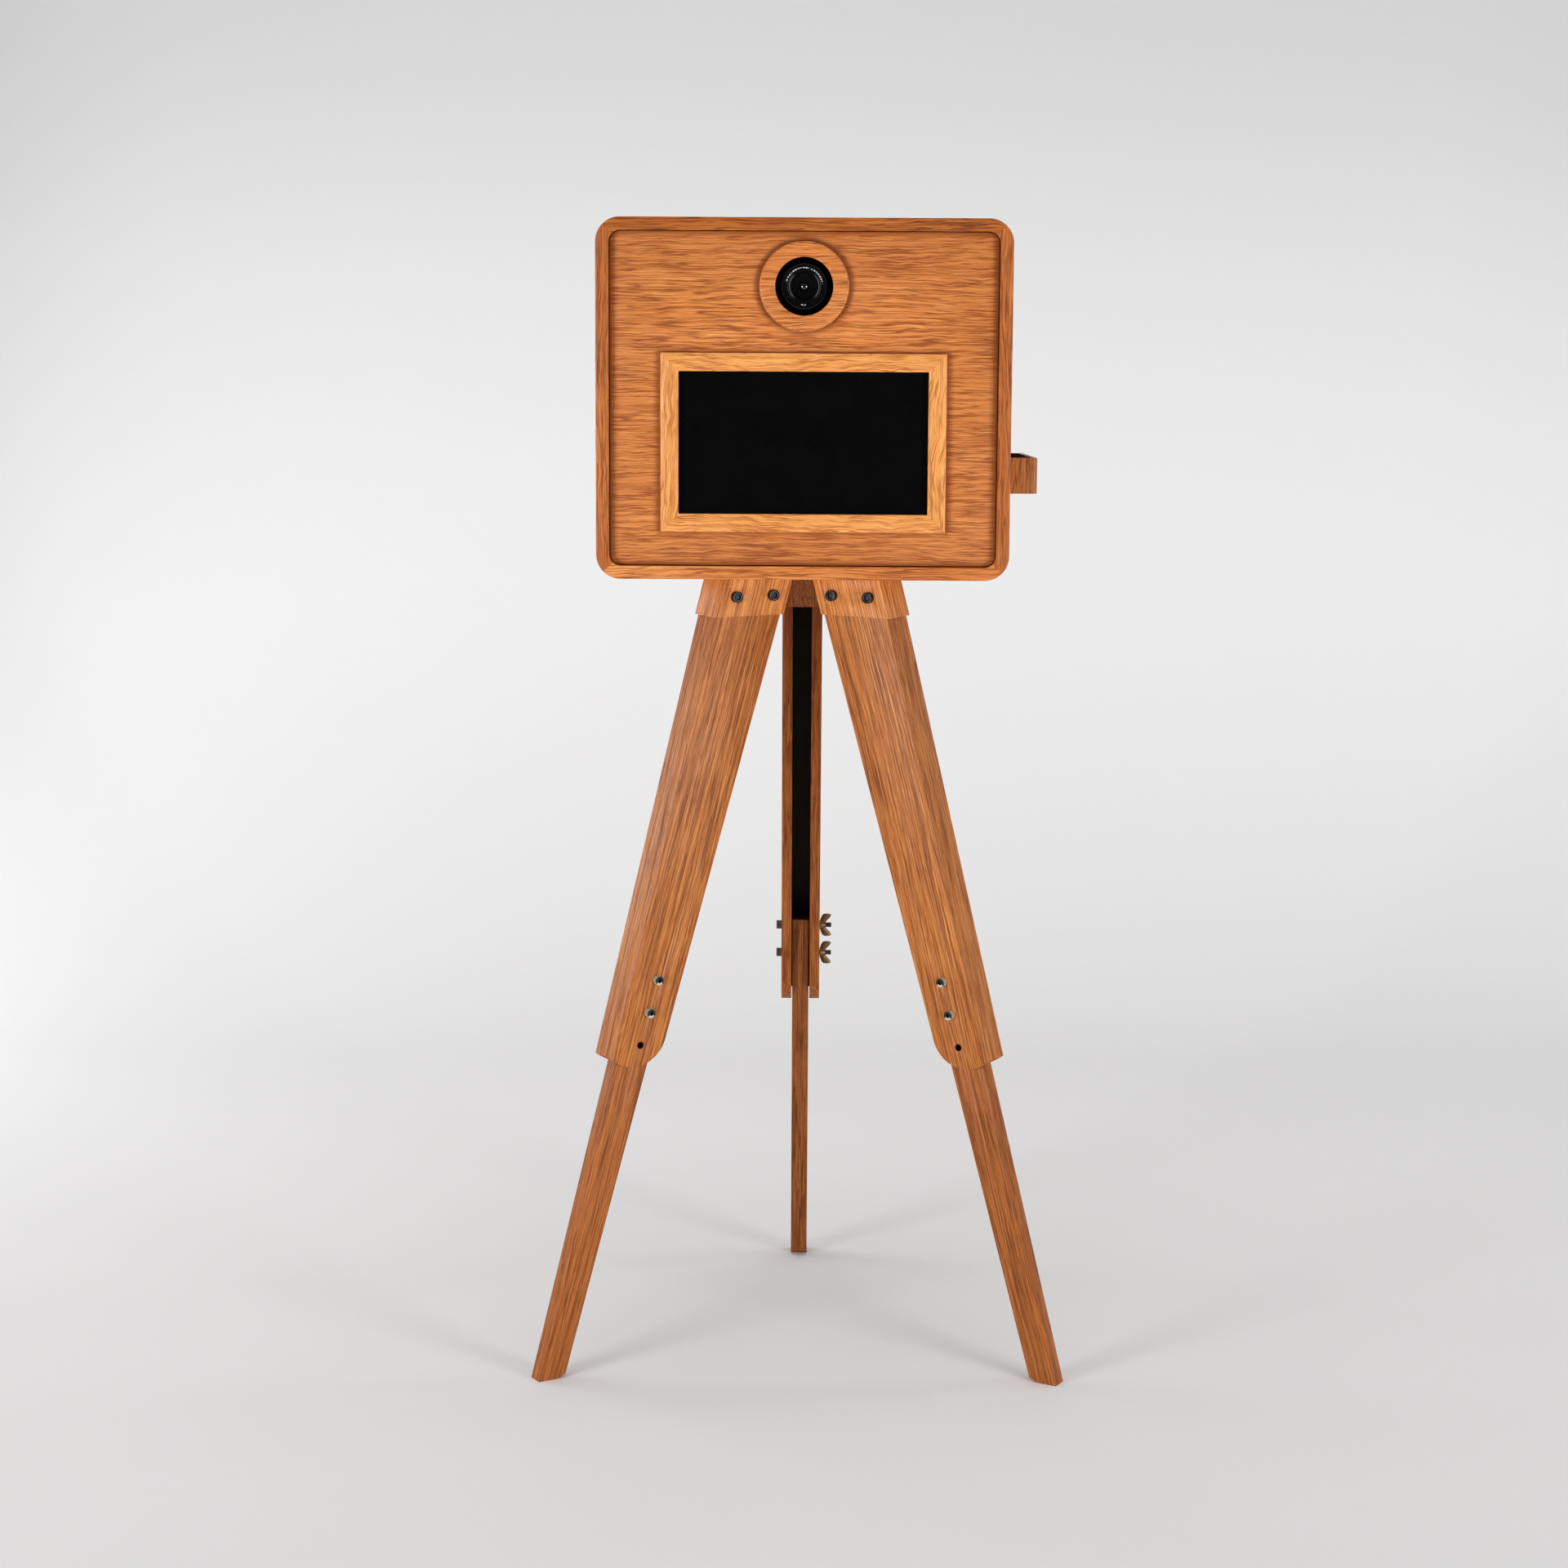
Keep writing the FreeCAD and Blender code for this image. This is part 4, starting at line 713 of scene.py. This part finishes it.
# The legs. The grain follows each leg, and the outer board's inner face is dark, partly its own dark colour and
# partly painted shade.
# dark colour for inside faces, partly their own colour and partly painted shade
darkInsideAndShade = paint("dark_inside_and_painted_shade", (0.030, 0.020, 0.010), 0.8, 0.0, 0.5)
legAxes, clampPlaces = {}, {}
for joint in frame["joints"]:
    if joint["name"].endswith("_leg_slide"):
        legAxes[joint["name"].split("_")[0]] = Vector(joint["axis"])
    elif joint["name"].endswith("_wing_nut_turn"):
        leg, place = joint["name"].split("_")[:2]
        clampPlaces[leg, place] = Vector(joint["pos_m"])
holeReach = {"across": 0.0056, "along": 0.13}


# The walls of the clamp holes and of the slot behind them, which are painted near-black as shade.
def inClampHole(face, leg, tangent):
    upper, lower = clampPlaces[leg, "upper"], clampPlaces[leg, "lower"]
    down = (lower - upper).normalized()
    offset = face.center - lower
    offset -= tangent * offset.dot(tangent)
    along = offset.dot(down)
    return (abs(face.normal.dot(tangent)) < 0.1 and abs(along) < holeReach["along"]
            and (offset - down * along).length < holeReach["across"])


legGrain = {"veinScale": 215, "veinRun": 3.0, "ripple": 0.0018, "wander": 0.012, "broad": 0.24,
            "specular": 0.15, "threads": 1.10}
for seed, (leg, slope) in enumerate(legAxes.items()):
    level = Vector((slope.x, slope.y, 0)).normalized()
    tangent = level.cross(up)
    outward = slope.cross(tangent) * math.copysign(1, slope.cross(tangent).dot(-level))
    # painted shade: the rear leg, its cap and its lower leg take darker tones
    tone = "rear" if leg == "rear" else "upper"
    easedCopy("leg_cap_" + leg, "cap_" + leg,
              oak("oak_cap_" + leg, slope, tangent, "upper" if leg == "rear" else "cap", 41 + seed * 1.9,
                  **legGrain), 0.0008)
    cheeks = easedCopy("upper_leg_%s_cheeks" % leg, "cheeks_" + leg,
                       oak("oak_cheeks_" + leg, slope, tangent, tone, 51 + seed * 2.7, lean=0.02, **legGrain),
                       0.0012, 3)
    # painted shade: the clamp hole walls are near-black
    touchUp(cheeks, darkInsideAndShade, lambda face: inClampHole(face, leg, tangent))
    outerBoard = easedCopy("upper_leg_%s_outer_board" % leg, "outer_board_" + leg,
                           oak("oak_outer_" + leg, slope, outward, tone, 61 + seed * 1.3, **legGrain), 0.0008)
    touchUp(outerBoard, darkInsideAndShade, lambda face: face.normal.dot(outward) < -0.9)
    lowerLeg = easedCopy("lower_leg_" + leg, "lower_" + leg,
                         oak("oak_lower_" + leg, slope, tangent, "rearLowerShaded" if leg == "rear" else "lower",
                             71 + seed * 3.3, **legGrain), 0.0014, 3)
    # painted shade: the slot walls behind the clamp holes are near-black
    touchUp(lowerLeg, darkInsideAndShade, lambda face: inClampHole(face, leg, tangent))
easedCopy("head_blocks", "head_core", oak("oak_head", (0, 0, 1), (1, 0, 0), "upper", 81), 0.0005, 1)
print("legs made")

# Bolts and wing nuts. Each is made once along +Y from the cheek's face, then copied to its place.
blackSteel = paint("black_oxide", (0.012, 0.012, 0.013), 0.34, 0.6, 0.2)
dullSteelAndShade = paint("dull_steel_and_painted_shade", (0.110, 0.098, 0.100), 0.42, 0.7, 0.2)
socketBlack = paint("socket_shade", (0.004, 0.004, 0.004), 0.6, 0.2, 0.2)
nickel = paint("nickel_plate", (0.52, 0.49, 0.42), 0.50, 0.35, 0.1)
bronze = paint("aged_brass", (0.190, 0.118, 0.052), 0.42, 0.75, 0.5)
nut = {"bore": 0.00395, "hub": 0.0070, "hubTop": 0.0052, "hubRise": 0.0085, "foot": 0.0012}
wing = {"root": (0.0034, 0.0048), "width": 0.0090, "thick": 0.0052,
        "path": [(0.0068, 0.0072, 1.50), (0.0100, 0.0096, 1.15),        # height, distance out, growth in width
                 (0.0130, 0.0110, 0.98), (0.0160, 0.0112, 0.66)]}
bolt = {"radius": 0.0039, "core": 0.0033, "pitch": 0.00125, "end": 0.0177, "grip": 0.0583, "head": 0.0065,
        "headRise": 0.008, "key": 0.003464, "keyDepth": 0.0045}


def makeWing(name):
    clear()
    z, y = wing["root"]
    bpy.ops.mesh.primitive_cube_add(size=1, location=(0, y, z))
    piece = named(name)
    piece.scale = (wing["thick"], wing["width"], 0.003)
    settle(piece)
    pick(piece, "FACE", lambda face: face.normal.z > 0.9)
    for nextZ, nextY, swell in wing["path"]:
        bpy.ops.mesh.extrude_region_move(TRANSFORM_OT_translate={"value": (0, nextY - y, nextZ - z)})
        z, y = nextZ, nextY
        bpy.ops.transform.resize(value=(1, swell, swell), center_override=(0, y, z))
    clear()
    return modify(piece, "SUBSURF", levels=3, render_levels=3)


def makeNut():
    hub = lathe("nutHub", (0, 0, 0), [
        (nut["bore"], 0), (nut["hub"], 0), (nut["hub"], nut["foot"]), (nut["hubTop"], nut["hubRise"] * 0.9),
        (nut["hubTop"] - 0.0004, nut["hubRise"]), (nut["bore"], nut["hubRise"]), (nut["bore"], 0)], 64)
    for turn in (0, math.pi):
        half = makeWing("nutWing")
        half.rotation_euler = (0, turn, 0)
        settle(half)
        modify(hub, "BOOLEAN", operation="UNION", object=half, solver="EXACT")
        bpy.data.objects.remove(half)
    boreTool = drum("nutBore", (0, 0, 0), nut["bore"], 0.06, "Y", 64)
    carve(hub, boreTool)
    take(hub)
    bpy.ops.object.shade_smooth_by_angle(angle=math.radians(40))
    return hub


def makeBolt():
    steps = [(bolt["radius"], -bolt["grip"]), (bolt["radius"], 0)]
    y = 0.0
    while y < bolt["end"] - bolt["pitch"]:
        steps += [(bolt["core"], y + bolt["pitch"] / 2), (bolt["radius"], y + bolt["pitch"])]
        y += bolt["pitch"]
    steps += [(bolt["core"], bolt["end"]), (0, bolt["end"])]
    shaft = lathe("boltShaft", (0, 0, 0), steps, 48)
    headMiddle = -bolt["grip"] - bolt["headRise"] / 2
    head = drum("boltHead", (0, headMiddle, 0), bolt["head"], bolt["headRise"], "Y", 60)
    pick(head, "FACE", lambda face: abs(face.normal.y) < 0.1)
    bpy.ops.mesh.inset(thickness=0.00012, depth=-0.00018, use_individual=True)      # knurled side
    clear()
    headFace = headMiddle - bolt["headRise"] / 2
    carve(head, drum("boltKey", (0, headFace, 0), bolt["key"], bolt["keyDepth"] * 2, "Y", 6))
    ease(head, 0.0005, 2, 50)
    return join([shaft, head], "boltMaster")


# Copies a master to a wing nut's place: its +Y goes along the nut's axis and its +Z stays up.
def toBolt(master, name, joint, start):
    piece = copyOf(master, name)
    along = Vector(joint["axis"])
    piece.rotation_euler = Matrix((along.cross(up), along, up)).transposed().to_euler()
    piece.location = start
    return settle(piece)


nutMaster, boltMaster = makeNut(), makeBolt()
bolts, boltLines = [], []
for joint in frame["joints"]:
    if joint["child"].startswith("wing_nut"):
        nutName, along = joint["child"], Vector(joint["axis"])
        anchor = Vector(joint["pos_m"])
        base = min((vertex.co - anchor).dot(along) for vertex in nodes[nutName].data.vertices)
        start = anchor + along * base
        piece = toBolt(nutMaster, nutName.replace("wing_nut", "butterfly"), joint, start)
        finishPiece(piece, bronze, nutName)
        bolts.append(toBolt(boltMaster, nutName + "_bolt", joint, start))
        boltLines.append((start, along))
bpy.data.objects.remove(nutMaster)
bpy.data.objects.remove(boltMaster)


# Which part of a clamp bolt a face belongs to: its key hole, its dull thread or its side with painted shade, or
# its bright end.
def boltPart(face):
    for start, along in boltLines:
        offset = face.center - start
        depth = offset.dot(along)
        radius = (offset - along * depth).length
        if radius < bolt["head"] * 1.05 and -0.070 < depth < 0.020:
            if radius < bolt["key"] * 1.02 and depth < -bolt["grip"]:
                return "key"
            # painted shade on the sides of the rear leg's bolt heads; the thread is dull steel
            dullOrShaded = depth > 0 or (abs(along.x) > 0.9 and abs(face.normal.dot(along)) < 0.8)
            return "side" if dullOrShaded else "end"
    return "end"


clampScrews = finishPiece(join(bolts, "clamp_screws"), nickel, "clamp_bolts")
touchUp(clampScrews, dullSteelAndShade, lambda face: boltPart(face) == "side")
touchUp(clampScrews, socketBlack, lambda face: boltPart(face) == "key")
easedCopy("cap_bolts", "cap_screws", blackSteel, 0.0008, 2)
print("bolts and wing nuts made")

# The catch tray's inside is dark, partly a dark finish and partly painted shade, and its grain stands upright.
tray = easedCopy("catch_tray", "tray", oak("oak_tray", (0, 0, 1), (0, -1, 0), "upper", 91, veinScale=210),
                 0.0012, 3)
pocketLow, pocketHigh = (Vector(corner) for corner in openings["tray_pocket"])
pocket = (pocketLow + pocketHigh) / 2
touchUp(tray, darkInsideAndShade, lambda face: face.normal.dot(pocket - face.center) > 0.001)
easedCopy("rear_door", "back_door", oak("oak_door", (1, 0, 0), (0, 1, 0), "cabinet", 95), 0.0012, 2)
print("tray and door made")

# Fittings, and what the cabinet holds.
finishes = {
    "inside": oak("oak_inside", (1, 0, 0), (0, 0, 1), "lip", 97),
    "upright": oak("oak_upright", (0, 0, 1), (0, -1, 0), "lip", 99),
    "blackMetal": paint("black_metal", (0.02, 0.02, 0.021), 0.45, 0.3, 0.2),
    "plastic": paint("moulded_plastic", (0.022, 0.022, 0.024), 0.5, 0.0, 0.25),
    "grey": paint("printer_plastic", (0.30, 0.30, 0.31), 0.5, 0.0, 0.2),
    "zinc": paint("zinc_plate", (0.55, 0.55, 0.54), 0.35, 1.0, 0.1),
    "glass": paint("screen_glass", (0.0010, 0.0010, 0.0011), 0.30, specular=0.10),
}
back, forward, left = (0, 1, 0), (0, -1, 0), (-1, 0, 0)
fittings = {        # node: piece, finish, edge round, panels as (face, margin, depth, grid cuts)
    "cabinet_battens": ("battens", "upright", 0.0010, []),
    "equipment_shelf": ("shelf", "inside", 0.0010, []),
    "mount_plate": ("stand_plate", "blackMetal", 0.0006, []),
    "monitor_straps": ("screen_straps", "blackMetal", 0.0004, []),
    "camera_bracket": ("camera_shelf", "blackMetal", 0.0005, []),
    "monitor_chassis": ("screen_case", "blackMetal", 0.0020, [(back, 0.020, 0.0020, 0),
                                                              (back, 0.030, -0.0006, 9)]),
    "power_supply": ("supply_case", "zinc", 0.0008, [(up, 0.006, -0.0006, 7), (back, 0.006, -0.0004, 4)]),
    "computer": ("mini_computer", "plastic", 0.0045, [(up, 0.010, 0.0008, 0), (back, 0.006, -0.0012, 4),
                                                      (left, 0.007, -0.0010, 5)]),
    "printer": ("photo_printer", "grey", 0.0050, [(up, 0.010, 0.0010, 0), (up, 0.018, -0.0015, 0),
                                                  (back, 0.009, -0.0012, 0), (left, 0.010, -0.0010, 4)]),
    "camera_body": ("camera", "plastic", 0.0030, [(back, 0.007, 0.0008, 0), (back, 0.006, -0.0012, 0)]),
    "camera_knob": ("tripod_screw", "blackMetal", 0.0006, []),
    "hinge_leaves_cabinet": ("fixed_leaves", "zinc", 0.0003, []),
    "hinge_leaves_door": ("door_leaves", "zinc", 0.0003, []),
    "lock_body": ("lock_case", "zinc", 0.0006, []),
    "lock_plug": ("lock_core", "zinc", 0.0004, []),
    "power_inlet": ("inlet", "plastic", 0.0005, []),
    "power_rocker": ("rocker", "plastic", 0.0006, []),
    "touch_glass": ("glass_plate", "glass", 0.0006, [(forward, 0.0035, -0.0001, 0)]),
    "leg_dowels": ("dowels", "inside", 0.0006, []),
    "plate_screws": ("base_screws", "zinc", 0.0004, []),
    "hinge_pins": ("pins", "zinc", 0.0004, []),
    "inlet_pins": ("contacts", "zinc", 0.0003, []),
}
for node, (pieceName, finish, width, panels) in fittings.items():
    piece = easedCopy(node, pieceName, finishes[finish], width, 2)
    for direction, margin, depth, cuts in panels:
        dress(piece, direction, margin, depth, cuts)
print("fittings and insides finished")

clear()
bpy.context.view_layer.update()
